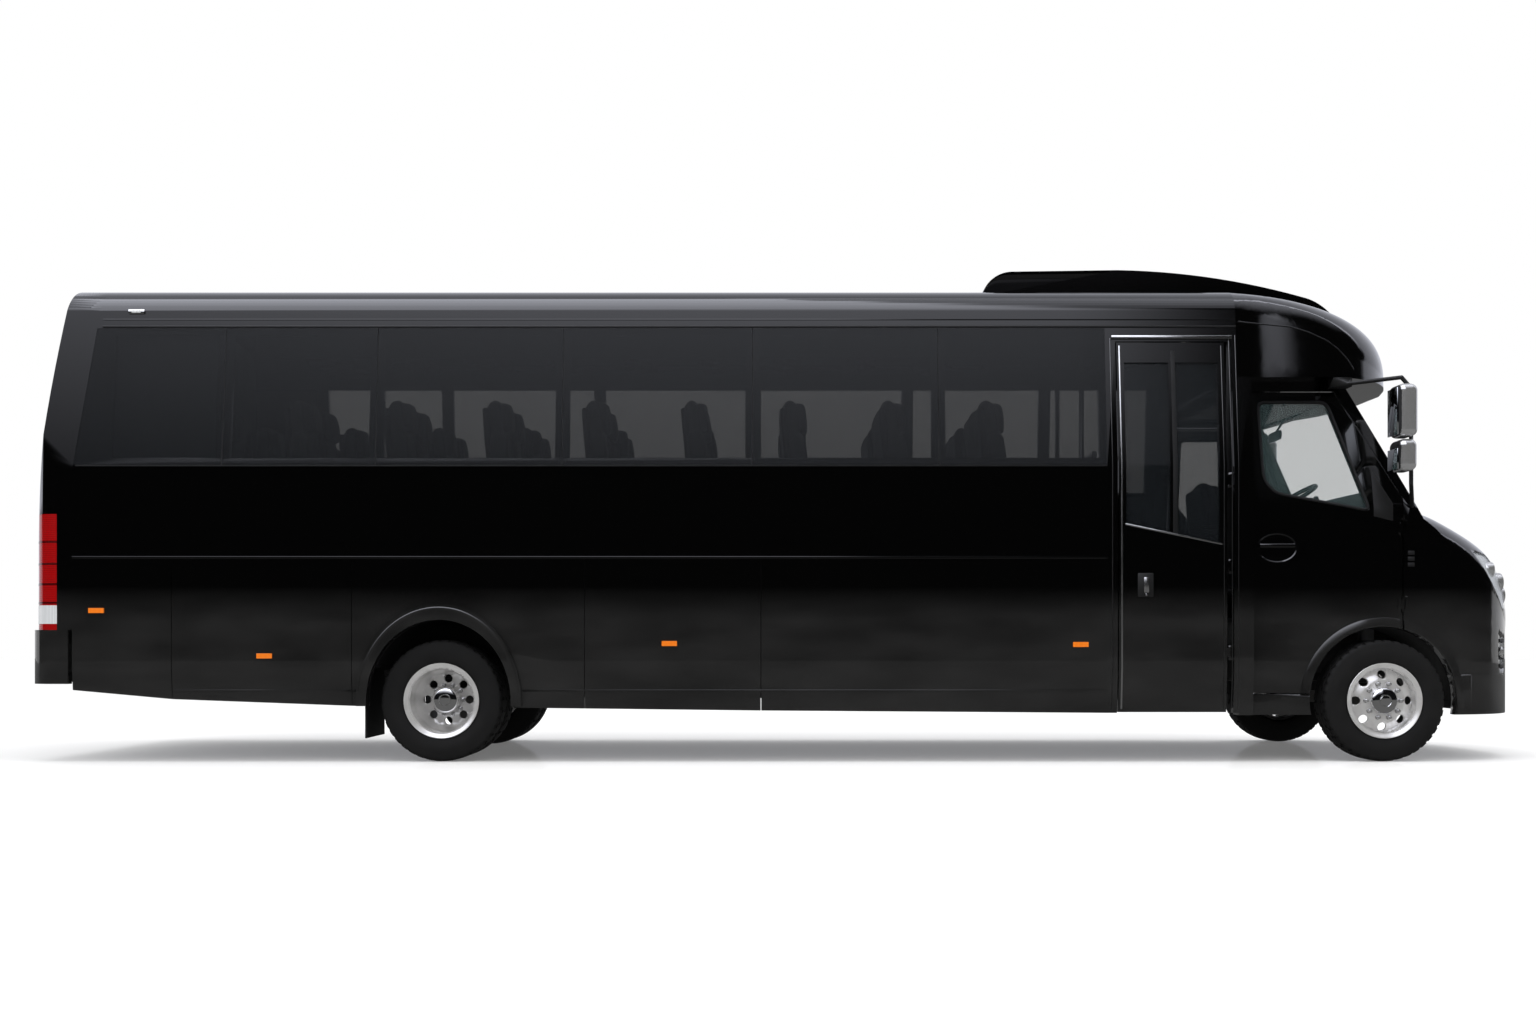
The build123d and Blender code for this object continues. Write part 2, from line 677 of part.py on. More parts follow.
STEP_THICK = 40.0
STEP_TOPS = (380.0, 650.0, 920.0)
STEP_FRONTS_Y = (WALL + DOOR_GAP - side_half(DOOR_BOTTOM_Z), -840.0, -660.0)
with BuildPart() as entry_steps:
    step_x = (DOOR_REAR_X, DOOR_FRONT_X)
    risers_y = (*STEP_FRONTS_Y[1:], STEP_WELL_Y)
    tops = (*STEP_TOPS[1:], FLOOR_Z - FLOOR_THICK)
    for top, front_y, back_y, next_top in zip(STEP_TOPS, STEP_FRONTS_Y, risers_y, tops):
        block(step_x, (front_y, back_y + STEP_THICK), (top - STEP_THICK, top))
        block(step_x, (back_y, back_y + STEP_THICK), (top - STEP_THICK, next_top))
    block(step_x, (STEP_WELL_Y, -RAIL_INNER_Y - RAIL_WIDTH), (RAIL_BOTTOM_Z, RAIL_BOTTOM_Z + STEP_THICK))
    block(step_x, (STEP_WELL_Y, STEP_WELL_Y + STEP_THICK), (RAIL_BOTTOM_Z, STEP_TOPS[2]))
finish(entry_steps, "entry_steps")

# Posts at the front corners of the saloon, and the dome above them
with BuildPart() as front_posts:
    post_x = (SALOON_FRONT_X, CAB_REAR_X)
    with BuildSketch(Plane.YZ.offset(post_x[0])):
        for side in (1, -1):
            with BuildLine():
                Polyline(
                    (side * side_half(CAB_BOTTOM_Z), CAB_BOTTOM_Z),
                    (side * HALF_WIDTH, TUCK_Z),
                    (side * HALF_WIDTH, WINDOW_Z),
                    (side * side_half(DOME_Z), DOME_Z),
                    (side * (cab_half(DOME_Z) - CAB_WALL), DOME_Z),
                    (side * (CAB_HALF - CAB_WALL), CAB_LEAN_Z),
                    (side * (CAB_HALF - CAB_WALL), CAB_BOTTOM_Z),
                    close=True,
                )
            make_face()
    extrude(amount=post_x[1] - post_x[0])
finish(front_posts, "front_posts")

dome_outside = dome_solid(0)
with BuildPart() as front_dome:
    add(dome_outside)
    add(dome_solid(DOME_WALL), mode=Mode.SUBTRACT)
finish(front_dome, "front_dome")

# Air unit on the roof, its tail fairing into the dome
AIR_UNIT_HALF = 750.0
AIR_UNIT_TOP_Z = 3240.0
AIR_UNIT_REAR_X = 1270.0
AIR_UNIT_FRONT_X = 3400.0
with BuildPart() as roof_air_unit:
    with BuildSketch(Plane.XZ):
        with BuildLine():
            foot_z = CROWN_Z - 120
            unit_tail = (AIR_UNIT_REAR_X, CROWN_Z - 15)
            unit_top = (AIR_UNIT_REAR_X + 200, AIR_UNIT_TOP_Z - 10)
            unit_flat = (AIR_UNIT_REAR_X + 900, AIR_UNIT_TOP_Z)
            Polyline((AIR_UNIT_FRONT_X, foot_z - 80), (AIR_UNIT_REAR_X, foot_z - 80), unit_tail)
            ThreePointArc(unit_tail, (AIR_UNIT_REAR_X + 70, AIR_UNIT_TOP_Z - 55), unit_top)
            Line(unit_top, unit_flat)
            nose = (AIR_UNIT_FRONT_X, CROWN_Z - 40)
            ThreePointArc(unit_flat, (AIR_UNIT_FRONT_X - 560, AIR_UNIT_TOP_Z - 58), nose)
            Line(nose, (AIR_UNIT_FRONT_X, foot_z - 80))
        make_face()
    extrude(amount=AIR_UNIT_HALF, both=True)
    add(saloon_outside, mode=Mode.SUBTRACT)
    add(dome_outside, mode=Mode.SUBTRACT)
    block((0, FAR * 2), (-FAR, FAR), (0, CROWN_Z - 130), mode=Mode.SUBTRACT)
finish(roof_air_unit, "roof_air_unit")

# Cab skins and the zones that its doors, bonnet and lamps take out of it
cab_outside = cab_solid(0)
cab_inside = cab_solid(CAB_WALL)
cab_skin = shell_between(cab_outside, cab_inside)


def cab_door_outline(gap):
    """Side view of a cab door, grown all round by a gap."""
    pillar_foot_z = CAB_LEAN_Z + 66
    top_front_x = CAB_DOOR_FRONT_X - (CAB_DOOR_TOP_Z - pillar_foot_z) * SCREEN_RAKE
    return (
        (CAB_DOOR_REAR_X - gap, CAB_DOOR_BOTTOM_Z - gap),
        (CAB_DOOR_FRONT_X + gap, CAB_DOOR_BOTTOM_Z - gap),
        (CAB_DOOR_FRONT_X + gap, pillar_foot_z + gap / 2),
        (top_front_x + gap, CAB_DOOR_TOP_Z + gap),
        (CAB_DOOR_REAR_X - gap, CAB_DOOR_TOP_Z + gap),
    )


CAB_WINDOW = (
    # ahead of the door's rear edge, up
    (73.0, 2330.0),
    (520.0, 2330.0),
    (750.0, 1612.0),
    (150.0, 1725.0),
    (78.0, 1815.0),
)
cab_window_outline = tuple((CAB_DOOR_REAR_X + ahead, up) for ahead, up in CAB_WINDOW)
cab_hinge_x = CAB_DOOR_FRONT_X + CAB_DOOR_GAP / 2
CAB_HINGES_Z = (1010.0, 1500.0)
door_zone = side_prism(cab_door_outline(CAB_DOOR_GAP), (-FAR, FAR))
BUMPER_GAP = 2.0
HEADLAMP_INNER_Y = 560.0
HEADLAMP = (
    # behind the nose tip, up
    (480.0, 1352.0),
    (230.0, 1325.0),
    (-100.0, 1262.0),
    (-100.0, 985.0),
    (215.0, 985.0),
)
headlamp_outline = tuple((NOSE_X - behind, up) for behind, up in HEADLAMP)
FOG_Z = (600.0, 800.0)
FOG_INNER_Y = 800.0
FOG_REAR_X = 4640.0
GRILLE_HALF = 500.0
GRILLE_Z = (640.0, 1240.0)

screen_outline = (
    (-(cab_half(1655) - PILLAR_WIDTH), 1655.0),
    (cab_half(1655) - PILLAR_WIDTH, 1655.0),
    (cab_half(2400) - PILLAR_WIDTH, 2400.0),
    (-(cab_half(2400) - PILLAR_WIDTH), 2400.0),
)
with BuildPart() as screen_zone:
    with BuildSketch(Plane.YZ.offset(CAB_REAR_X + 400)):
        with BuildLine():
            Polyline(*screen_outline, close=True)
        make_face()
    extrude(amount=FAR)

with BuildPart() as lamp_zones:
    for side in (1, -1):
        add(side_prism(headlamp_outline, span(side, HEADLAMP_INNER_Y, FAR)))
        block((FOG_REAR_X, FAR * 2), span(side, FOG_INNER_Y, FAR), FOG_Z)
    block(
        (COWL_X, FAR * 2),
        (-BONNET_HALF - 2 * BONNET_GAP, BONNET_HALF + 2 * BONNET_GAP),
        (BONNET_FRONT_Z - 2 * BONNET_GAP, FAR),
        mode=Mode.SUBTRACT,
    )

with BuildPart() as cab_shell:
    add(cab_skin)
    add(door_zone, mode=Mode.SUBTRACT)
    with Locations(Plane(origin=(FRONT_AXLE_X, 0, TYRE_RADIUS), z_dir=(0, 1, 0))):
        Cylinder(FRONT_ARCH_RADIUS, FAR, mode=Mode.SUBTRACT)
    add(screen_zone.part, mode=Mode.SUBTRACT)
    block(
        (COWL_X + 10 - BONNET_REAR_GAP, FAR * 2),
        (-BONNET_HALF - BONNET_GAP, BONNET_HALF + BONNET_GAP),
        (BONNET_FRONT_Z - BONNET_GAP, FAR),
        mode=Mode.SUBTRACT,
    )
    block((BUMPER_REAR_X, FAR * 2), (-FAR, FAR), (0, BUMPER_TOP_Z + BUMPER_GAP), mode=Mode.SUBTRACT)
    block((NOSE_X - 400, FAR * 2), (-GRILLE_HALF, GRILLE_HALF), GRILLE_Z, mode=Mode.SUBTRACT)
    add(lamp_zones.part, mode=Mode.SUBTRACT)
    for side_name, side in SIDES:
        for hinge_z in CAB_HINGES_Z:
            hinge_body(
                Plane(origin=(cab_hinge_x, side * CAB_HALF, hinge_z), x_dir=(1, 0, 0), z_dir=(0, 0, 1))
            )
    bonnet_hinge = (COWL_X + 10 - BONNET_GAP, COWL_Z - 18)
    for hinge_y in (-BONNET_HINGE_Y, BONNET_HINGE_Y):
        hinge_body(
            Plane(origin=(bonnet_hinge[0], hinge_y, bonnet_hinge[1]), x_dir=(-1, 0, 0), z_dir=(0, 1, 0))
        )
finish(cab_shell, "cab_shell")

with BuildPart() as bonnet:
    add(cab_skin)
    block(
        (COWL_X + 10, FAR * 2),
        (-BONNET_HALF, BONNET_HALF),
        (BONNET_FRONT_Z, FAR),
        mode=Mode.INTERSECT,
    )
    for hinge_y in (-BONNET_HINGE_Y, BONNET_HINGE_Y):
        hinge_leaf(
            Plane(origin=(bonnet_hinge[0], hinge_y, bonnet_hinge[1]), x_dir=(1, 0, 0), z_dir=(0, 1, 0))
        )
finish(bonnet, "bonnet")

with BuildPart() as windscreen:
    add(cab_outside)
    add(cab_solid(GLASS), mode=Mode.SUBTRACT)
    add(screen_zone.part, mode=Mode.INTERSECT)
    block((COWL_X - 900, FAR * 2), (-FAR, FAR), (0, FAR), mode=Mode.INTERSECT)
finish(windscreen, "windscreen")

with BuildPart() as front_bumper:
    add(cab_skin)
    block((BUMPER_REAR_X, FAR * 2), (-FAR, FAR), (CAB_BOTTOM_Z, BUMPER_TOP_Z), mode=Mode.INTERSECT)
    for side in (1, -1):
        block(
            (RAIL_FRONT_X, NOSE_X - 70),
            span(side, RAIL_INNER_Y, RAIL_INNER_Y + RAIL_WIDTH),
            (BUMPER_TOP_Z - 90, BUMPER_TOP_Z),
        )
        block(
            (RAIL_FRONT_X, RAIL_FRONT_X + 40),
            span(side, RAIL_INNER_Y, RAIL_INNER_Y + RAIL_WIDTH),
            (BUMPER_TOP_Z - 90, RAIL_BOTTOM_Z + RAIL_HEIGHT),
        )
finish(front_bumper, "front_bumper")

# Grille: slices of the nose joined by uprights
GRILLE_BARS = 6
BAR_HEIGHT = 44.0
with BuildPart() as grille:
    add(cab_skin)
    block((NOSE_X - 400, FAR * 2), (-GRILLE_HALF, GRILLE_HALF), GRILLE_Z, mode=Mode.INTERSECT)
    pitch = (GRILLE_Z[1] - GRILLE_Z[0] - BAR_HEIGHT) / (GRILLE_BARS - 1)
    for bar in range(GRILLE_BARS - 1):
        slot_z = GRILLE_Z[0] + BAR_HEIGHT + bar * pitch
        for slot_y in ((-0.94 * GRILLE_HALF, -20), (20, 0.94 * GRILLE_HALF)):
            block((NOSE_X - 400, FAR * 2), slot_y, (slot_z, slot_z + pitch - BAR_HEIGHT), mode=Mode.SUBTRACT)
finish(grille, "grille")

with BuildPart() as front_lamps:
    add(cab_skin)
    add(lamp_zones.part, mode=Mode.INTERSECT)
finish(front_lamps, "front_lamps")

# Cab doors with their glass
door_glass_skin = shell_between(cab_solid(2 * GLASS), cab_solid(3 * GLASS))
for side_name, side in SIDES:
    one_side = span(side, 500, FAR)
    leaf_zone = side_prism(cab_door_outline(0), one_side)
    pane_zone = side_prism(cab_window_outline, one_side)
    with BuildPart() as cab_door:
        add(cab_skin)
        add(leaf_zone, mode=Mode.INTERSECT)
        with Locations(Plane(origin=(FRONT_AXLE_X, 0, TYRE_RADIUS), z_dir=(0, 1, 0))):
            Cylinder(FRONT_ARCH_RADIUS, FAR, mode=Mode.SUBTRACT)
        add(pane_zone, mode=Mode.SUBTRACT)
        for hinge_z in CAB_HINGES_Z:
            hinge_leaf(
                Plane(origin=(cab_hinge_x, side * CAB_HALF, hinge_z), x_dir=(-1, 0, 0), z_dir=(0, 0, 1))
            )
    finish(cab_door, f"cab_door_{side_name}")

    with BuildPart() as cab_glass:
        add(door_glass_skin)
        add(pane_zone, mode=Mode.INTERSECT)
    finish(cab_glass, f"cab_glass_{side_name}")

# Cab floor on its mounts, and the liners over the front wheels
LINER = 10.0
HOUSE_INNER_Y = 598.0
HOUSE_OUTER_Y = 1100.0
HOUSE_BOTTOM_Z = 600.0
LINER_INNER_Y = 620.0
cab_inner_half = CAB_HALF - CAB_WALL - 6
cab_room = cab_solid(CAB_WALL + 10)
rail_top_z = RAIL_BOTTOM_Z + RAIL_HEIGHT
with BuildPart() as cab_floor:
    block((CAB_REAR_X, FIREWALL_X), (-cab_inner_half, cab_inner_half), (CAB_FLOOR_Z - 30, CAB_FLOOR_Z))
    for mount_x in (CAB_REAR_X + 60, FIREWALL_X - 100):
        for side in (1, -1):
            block(
                (mount_x, mount_x + 80),
                span(side, RAIL_INNER_Y, RAIL_INNER_Y + RAIL_WIDTH),
                (rail_top_z, CAB_FLOOR_Z - 30),
            )
finish(cab_floor, "cab_floor")

with BuildPart() as arch_liners:
    for side in (1, -1):
        liner_y = span(side, LINER_INNER_Y, cab_inner_half)
        with BuildSketch(Plane.XZ.offset(-liner_y[1])):
            with Locations((FRONT_AXLE_X, TYRE_RADIUS)):
                Circle(FRONT_ARCH_RADIUS + LINER)
                Circle(FRONT_ARCH_RADIUS, mode=Mode.SUBTRACT)
            with Locations((FRONT_AXLE_X, TYRE_RADIUS - FAR / 2)):
                Rectangle(FAR, FAR, mode=Mode.SUBTRACT)
        extrude(amount=liner_y[1] - liner_y[0])
        liner_top = TYRE_RADIUS + FRONT_ARCH_RADIUS + LINER
        block((FRONT_AXLE_X - 40, FRONT_AXLE_X + 40), liner_y, (liner_top - 4, CAB_FLOOR_Z - 30))
    add(cab_room, mode=Mode.INTERSECT)
    # Wheel houses over the twin rear wheels, each hung from the saloon floor
    for side in (1, -1):
        house_y = span(side, HOUSE_INNER_Y, HOUSE_OUTER_Y)
        wall_y = span(side, HOUSE_INNER_Y, HOUSE_INNER_Y + LINER)
        for reach, house_mode in ((LINER, Mode.ADD), (0, Mode.SUBTRACT)):
            with BuildSketch(Plane.XZ.offset(-house_y[1])) as house_arch:
                arch_sketch(ARCH_HALF + reach, ARCH_RISE + reach)
                with Locations((REAR_AXLE_X, HOUSE_BOTTOM_Z - FAR / 2)):
                    Rectangle(FAR, FAR, mode=Mode.SUBTRACT)
            extrude(house_arch.sketch, amount=house_y[1] - house_y[0], mode=house_mode)
        with BuildSketch(Plane.XZ.offset(-wall_y[1])) as house_wall:
            arch_sketch(ARCH_HALF + LINER, ARCH_RISE + LINER)
            with Locations((REAR_AXLE_X, HOUSE_BOTTOM_Z - FAR / 2)):
                Rectangle(FAR, FAR, mode=Mode.SUBTRACT)
        extrude(house_wall.sketch, amount=LINER)
        house_top = TYRE_RADIUS + ARCH_RISE + LINER
        block((REAR_AXLE_X - 40, REAR_AXLE_X + 40), house_y, (house_top - 4, FLOOR_Z - FLOOR_THICK))
finish(arch_liners, "arch_liners")

# Dashboard with an instrument hood and the steering column's boss
STEER_CENTRE = (3705.0, 420.0, 1810.0)
STEER_TILT = 32.0
STEER_RADIUS = 215.0
STEER_RIM = 16.0
steer_up = Vector(-sin(radians(STEER_TILT)), 0, cos(radians(STEER_TILT)))
column_foot = Vector(*STEER_CENTRE) - steer_up * 330
DASH_REAR_X = 3890.0
DASH_TOP_Z = 1640.0
with BuildPart() as dashboard:
    with BuildSketch(Plane.XZ):
        with BuildLine():
            Polyline(
                (DASH_REAR_X + 30, 1250),
                (COWL_X - 60, 1250),
                (COWL_X - 60, COWL_Z - 75),
                (DASH_REAR_X + 120, DASH_TOP_Z),
                (DASH_REAR_X, DASH_TOP_Z - 60),
                close=True,
            )
        make_face()
    extrude(amount=cab_inner_half - 20, both=True)
    block((FIREWALL_X - 40, FIREWALL_X), (20 - cab_inner_half, cab_inner_half - 20), (CAB_FLOOR_Z, 1250))
    rod(tuple(column_foot), tuple(Vector(*STEER_CENTRE) - steer_up * 40), 28)
    hood_y = (STEER_CENTRE[1] - 190, STEER_CENTRE[1] + 190)
    block((DASH_REAR_X + 30, DASH_REAR_X + 90), hood_y, (DASH_TOP_Z - 60, DASH_TOP_Z + 110))
    add(cab_room, mode=Mode.INTERSECT)
finish(dashboard, "dashboard")

with BuildPart() as steering_wheel:
    rim_plane = Plane(origin=STEER_CENTRE, x_dir=(0, 1, 0), z_dir=steer_up)
    with Locations(rim_plane):
        Torus(STEER_RADIUS, STEER_RIM)
    hub_end = Vector(*STEER_CENTRE) - steer_up * (40 - RUNNING_CLEARANCE)
    rod(tuple(hub_end), tuple(Vector(*STEER_CENTRE) + steer_up * 4), 60)
    for spoke_turn in (90, 210, 330):
        spoke = rim_plane.from_local_coords(
            Vector(STEER_RADIUS * cos(radians(spoke_turn)), STEER_RADIUS * sin(radians(spoke_turn)), 0)
        )
        rod(tuple(Vector(*STEER_CENTRE) - steer_up * 10), tuple(spoke), 11)
finish(steering_wheel, "steering_wheel")

# Seats: side outline as distance ahead of the back's rear edge, and height above the floor
SEAT_OUTLINE = (
    (150.0, 0.0),
    (150.0, 230.0),
    (70.0, 230.0),
    (0.0, 1110.0),
    (40.0, 1155.0),
    (110.0, 1140.0),
    (185.0, 370.0),
    (590.0, 385.0),
    (620.0, 310.0),
    (590.0, 230.0),
    (470.0, 230.0),
    (470.0, 0.0),
)
SEAT_PITCH = 643.0
SEAT_ROWS = 9
LAST_SEAT_X = -3928.0
SEAT_Y = (210.0, 1060.0)


def seat_solid(rear_x, floor_z, height_scale, y):
    """One bench seat with its back and pedestal."""
    return side_prism(tuple((rear_x + ahead, floor_z + up * height_scale) for ahead, up in SEAT_OUTLINE), y)


bench_pair = [seat_solid(LAST_SEAT_X, FLOOR_Z, 1.0, span(side, *SEAT_Y)) for side in (1, -1)]
with BuildPart() as passenger_seats:
    for row in range(SEAT_ROWS):
        with Locations((row * SEAT_PITCH, 0, 0)):
            add(bench_pair)
finish(passenger_seats, "passenger_seats")

CAB_SEAT_X = 3000.0
CAB_SEAT_Y = (180.0, 680.0)
CAB_SEAT_SCALE = 0.88
cab_pair = [
    seat_solid(CAB_SEAT_X, CAB_FLOOR_Z, CAB_SEAT_SCALE, span(side, *CAB_SEAT_Y)) for side in (1, -1)
]
with BuildPart() as cab_seats:
    add(cab_pair)
finish(cab_seats, "cab_seats")

STANCHIONS = (
    # along, across
    (1985.0, -470.0),
    (1985.0, 400.0),
)
STANCHION_RADIUS = 17.0
with BuildPart() as grab_rails:
    for along, across in STANCHIONS:
        rod((along, across, FLOOR_Z), (along, across, 2960), STANCHION_RADIUS)
        rod((along, across, 2000), (along, 1.9 * across, 2000), STANCHION_RADIUS)
        rod((along, 1.9 * across, FLOOR_Z), (along, 1.9 * across, 2000 + STANCHION_RADIUS), STANCHION_RADIUS)
    block((DOOR_FRAME_X, FAR), (-FAR, STEP_WELL_Y), (0, FAR), mode=Mode.SUBTRACT)
finish(grab_rails, "grab_rails")

# Ladder frame: rails, cross members, floor bearers and engine mounts
CROSS_MEMBERS_X = (-4600.0, -3000.0, -1500.0, 0.0, 1500.0, 2900.0, 4540.0)
BEARERS_X = (-4100.0, -3300.0, -1200.0, -100.0, 900.0, 1900.0)
BEARER_WIDTH = 80.0
TOW_PLATE = 25.0
TOW_EYE_RADIUS = 22.0
TOW_EYE_REACH = 70.0
ENGINE_HALF = 260.0
floor_bottom_z = FLOOR_Z - FLOOR_THICK
with BuildPart() as frame_rails:
    for side in (1, -1):
        rail_y = span(side, RAIL_INNER_Y, RAIL_INNER_Y + RAIL_WIDTH)
        block((RAIL_REAR_X, RAIL_FRONT_X), rail_y, (RAIL_BOTTOM_Z, rail_top_z))
        mount_y = span(side, ENGINE_HALF, RAIL_INNER_Y)
        block((4150, 4230), mount_y, (RAIL_BOTTOM_Z + 40, rail_top_z - 40))
        eye_y = span(side, RAIL_INNER_Y, RAIL_INNER_Y + TOW_PLATE)
        eye_x = RAIL_REAR_X + TOW_EYE_REACH
        block((eye_x - 60, eye_x + 60), eye_y, (RAIL_BOTTOM_Z - 110, RAIL_BOTTOM_Z))
        eye_z = RAIL_BOTTOM_Z - 55
        rod((eye_x, eye_y[0], eye_z), (eye_x, eye_y[1], eye_z), TOW_EYE_RADIUS, mode=Mode.SUBTRACT)
finish(frame_rails, "frame_rails")

with BuildPart() as cross_members:
    for member_x in CROSS_MEMBERS_X:
        block((member_x, member_x + 60), (-RAIL_INNER_Y, RAIL_INNER_Y), (RAIL_BOTTOM_Z + 130, rail_top_z))
finish(cross_members, "cross_members")

with BuildPart() as floor_bearers:
    bearer_half = HALF_WIDTH - WALL
    for bearer_x in BEARERS_X:
        bearer_span = (bearer_x, bearer_x + BEARER_WIDTH)
        block(bearer_span, (-bearer_half, bearer_half), (floor_bottom_z - 60, floor_bottom_z))
        for side in (1, -1):
            rail_y = span(side, RAIL_INNER_Y, RAIL_INNER_Y + RAIL_WIDTH)
            block(bearer_span, rail_y, (rail_top_z, floor_bottom_z))
finish(floor_bearers, "floor_bearers")

ENGINE_X = (4050.0, 4530.0)
ENGINE_Z = (600.0, 1180.0)
with BuildPart() as engine_block:
    block(ENGINE_X, (-ENGINE_HALF, ENGINE_HALF), ENGINE_Z)
finish(engine_block, "engine_block")

GEARBOX_REAR_X = 3250.0
DIFF_RADIUS = 190.0
PINION_NOSE = 150.0
shaft_start = (GEARBOX_REAR_X, 0, 640.0)
shaft_end = (REAR_AXLE_X + DIFF_RADIUS + PINION_NOSE + 2.6, 0, TYRE_RADIUS)
with BuildPart() as drive_line:
    block((GEARBOX_REAR_X, ENGINE_X[0]), (-150, 150), (610, 830))
    rod(shaft_start, shaft_end, 45)
finish(drive_line, "drive_line")

# Axles
AXLE_TUBE = 65.0
AXLE_TUBE_END_Y = 700.0
HALF_SHAFT_END_Y = 985.0
JACK_Y = 540.0
JACK_PAD = 90.0
JACK_PAD_DROP = 15.0
with BuildPart() as rear_axle:
    for end_y, radius in ((AXLE_TUBE_END_Y, AXLE_TUBE), (HALF_SHAFT_END_Y, HALF_SHAFT_RADIUS)):
        rod((REAR_AXLE_X, -end_y, TYRE_RADIUS), (REAR_AXLE_X, end_y, TYRE_RADIUS), radius)
    with Locations((REAR_AXLE_X, 0, TYRE_RADIUS)):
        Sphere(DIFF_RADIUS)
    for side in (1, -1):
        block(
            (REAR_AXLE_X - JACK_PAD / 2, REAR_AXLE_X + JACK_PAD / 2),
            span(side, JACK_Y - JACK_PAD / 2, JACK_Y + JACK_PAD / 2),
            (TYRE_RADIUS - AXLE_TUBE - JACK_PAD_DROP, TYRE_RADIUS),
        )
    rod((REAR_AXLE_X, 0, TYRE_RADIUS), (REAR_AXLE_X + DIFF_RADIUS + PINION_NOSE, 0, TYRE_RADIUS), 60)
finish(rear_axle, "rear_axle")

EYE_HALF_HEIGHT = 60.0
with BuildPart() as front_axle:
    block((FRONT_AXLE_X - 50, FRONT_AXLE_X + 50), (-KINGPIN_Y + 20, KINGPIN_Y - 20), (340, 430))
    for side in (1, -1):
        foot = (FRONT_AXLE_X, side * KINGPIN_Y, TYRE_RADIUS - EYE_HALF_HEIGHT)
        top = (FRONT_AXLE_X, side * KINGPIN_Y, TYRE_RADIUS + EYE_HALF_HEIGHT)
        rod(foot, top, 2 * KINGPIN_RADIUS)
    for side in (1, -1):
        foot = (FRONT_AXLE_X, side * KINGPIN_Y, TYRE_RADIUS - EYE_HALF_HEIGHT)
        top = (FRONT_AXLE_X, side * KINGPIN_Y, TYRE_RADIUS + EYE_HALF_HEIGHT)
        rod(foot, top, KINGPIN_RADIUS + RUNNING_CLEARANCE, mode=Mode.SUBTRACT)
finish(front_axle, "front_axle")

KNUCKLE_ARM = 30.0
WEB_Y = 930.0
SPINDLE_END_Y = 1062.0
for side_name, side in SIDES:
    with BuildPart() as knuckle:
        arm_top = EYE_HALF_HEIGHT + RUNNING_CLEARANCE + KNUCKLE_ARM
        pin_foot = (FRONT_AXLE_X, side * KINGPIN_Y, TYRE_RADIUS - arm_top)
        pin_top = (FRONT_AXLE_X, side * KINGPIN_Y, TYRE_RADIUS + arm_top)
        rod(pin_foot, pin_top, KINGPIN_RADIUS)
        arm_x = (FRONT_AXLE_X - 45, FRONT_AXLE_X + 45)
        arm_y = span(side, KINGPIN_Y - 40, WEB_Y + 20)
        arm_base = EYE_HALF_HEIGHT + RUNNING_CLEARANCE
        block(arm_x, arm_y, (TYRE_RADIUS + arm_base, TYRE_RADIUS + arm_top))
        block(arm_x, arm_y, (TYRE_RADIUS - arm_top, TYRE_RADIUS - arm_base))
        block(arm_x, span(side, WEB_Y, WEB_Y + 20), (TYRE_RADIUS - arm_top, TYRE_RADIUS + arm_top))
        spindle_foot = (FRONT_AXLE_X, side * WEB_Y, TYRE_RADIUS)
        rod(spindle_foot, (FRONT_AXLE_X, side * SPINDLE_END_Y, TYRE_RADIUS), SPINDLE_RADIUS)
    finish(knuckle, f"knuckle_{side_name}")

# Leaf springs with their hangers under the rails
SPRINGS = (
    # axle, half length, seat of the spring
    (FRONT_AXLE_X, 640.0, 430.0),
    (REAR_AXLE_X, 760.0, TYRE_RADIUS + AXLE_TUBE),
)
SPRING_THICK = 55.0
with BuildPart() as leaf_springs:
    for axle_x, reach, seat_z in SPRINGS:
        for side in (1, -1):
            spring_y = span(side, RAIL_INNER_Y, RAIL_INNER_Y + RAIL_WIDTH)
            with BuildSketch(Plane.XZ.offset(-spring_y[1])):
                with BuildLine():
                    end_z = RAIL_BOTTOM_Z - SPRING_THICK
                    ThreePointArc((axle_x - reach, end_z), (axle_x, seat_z), (axle_x + reach, end_z))
                    Line((axle_x + reach, end_z), (axle_x + reach, RAIL_BOTTOM_Z))
                    Line((axle_x + reach, RAIL_BOTTOM_Z), (axle_x + reach - 70, RAIL_BOTTOM_Z))
                    ThreePointArc(
                        (axle_x + reach - 70, RAIL_BOTTOM_Z),
                        (axle_x, seat_z + SPRING_THICK),
                        (axle_x - reach + 70, RAIL_BOTTOM_Z),
                    )
                    Line((axle_x - reach + 70, RAIL_BOTTOM_Z), (axle_x - reach, RAIL_BOTTOM_Z))
                    Line((axle_x - reach, RAIL_BOTTOM_Z), (axle_x - reach, end_z))
                make_face()
            extrude(amount=spring_y[1] - spring_y[0])
finish(leaf_springs, "leaf_springs")

# Tank, exhaust and mud flaps hang from the rails
rail_outer_y = RAIL_INNER_Y + RAIL_WIDTH
with BuildPart() as fuel_tank:
    block((-1250, -250), (rail_outer_y, 960), (430, 790))
    fillet(fuel_tank.edges().filter_by(Axis.X).group_by(Axis.Y)[-1], radius=70)
finish(fuel_tank, "fuel_tank")

EXHAUST_Y = -640.0
EXHAUST_Z = 520.0
with BuildPart() as exhaust:
    rod((300, EXHAUST_Y, EXHAUST_Z), (1300, EXHAUST_Y, EXHAUST_Z), 110)
    rod((-1500, EXHAUST_Y, EXHAUST_Z), (1700, EXHAUST_Y, EXHAUST_Z), 36)
    for hanger_x in (500, 1100):
        block((hanger_x, hanger_x + 40), (EXHAUST_Y, -rail_outer_y), (EXHAUST_Z + 60, EXHAUST_Z + 100))
finish(exhaust, "exhaust")

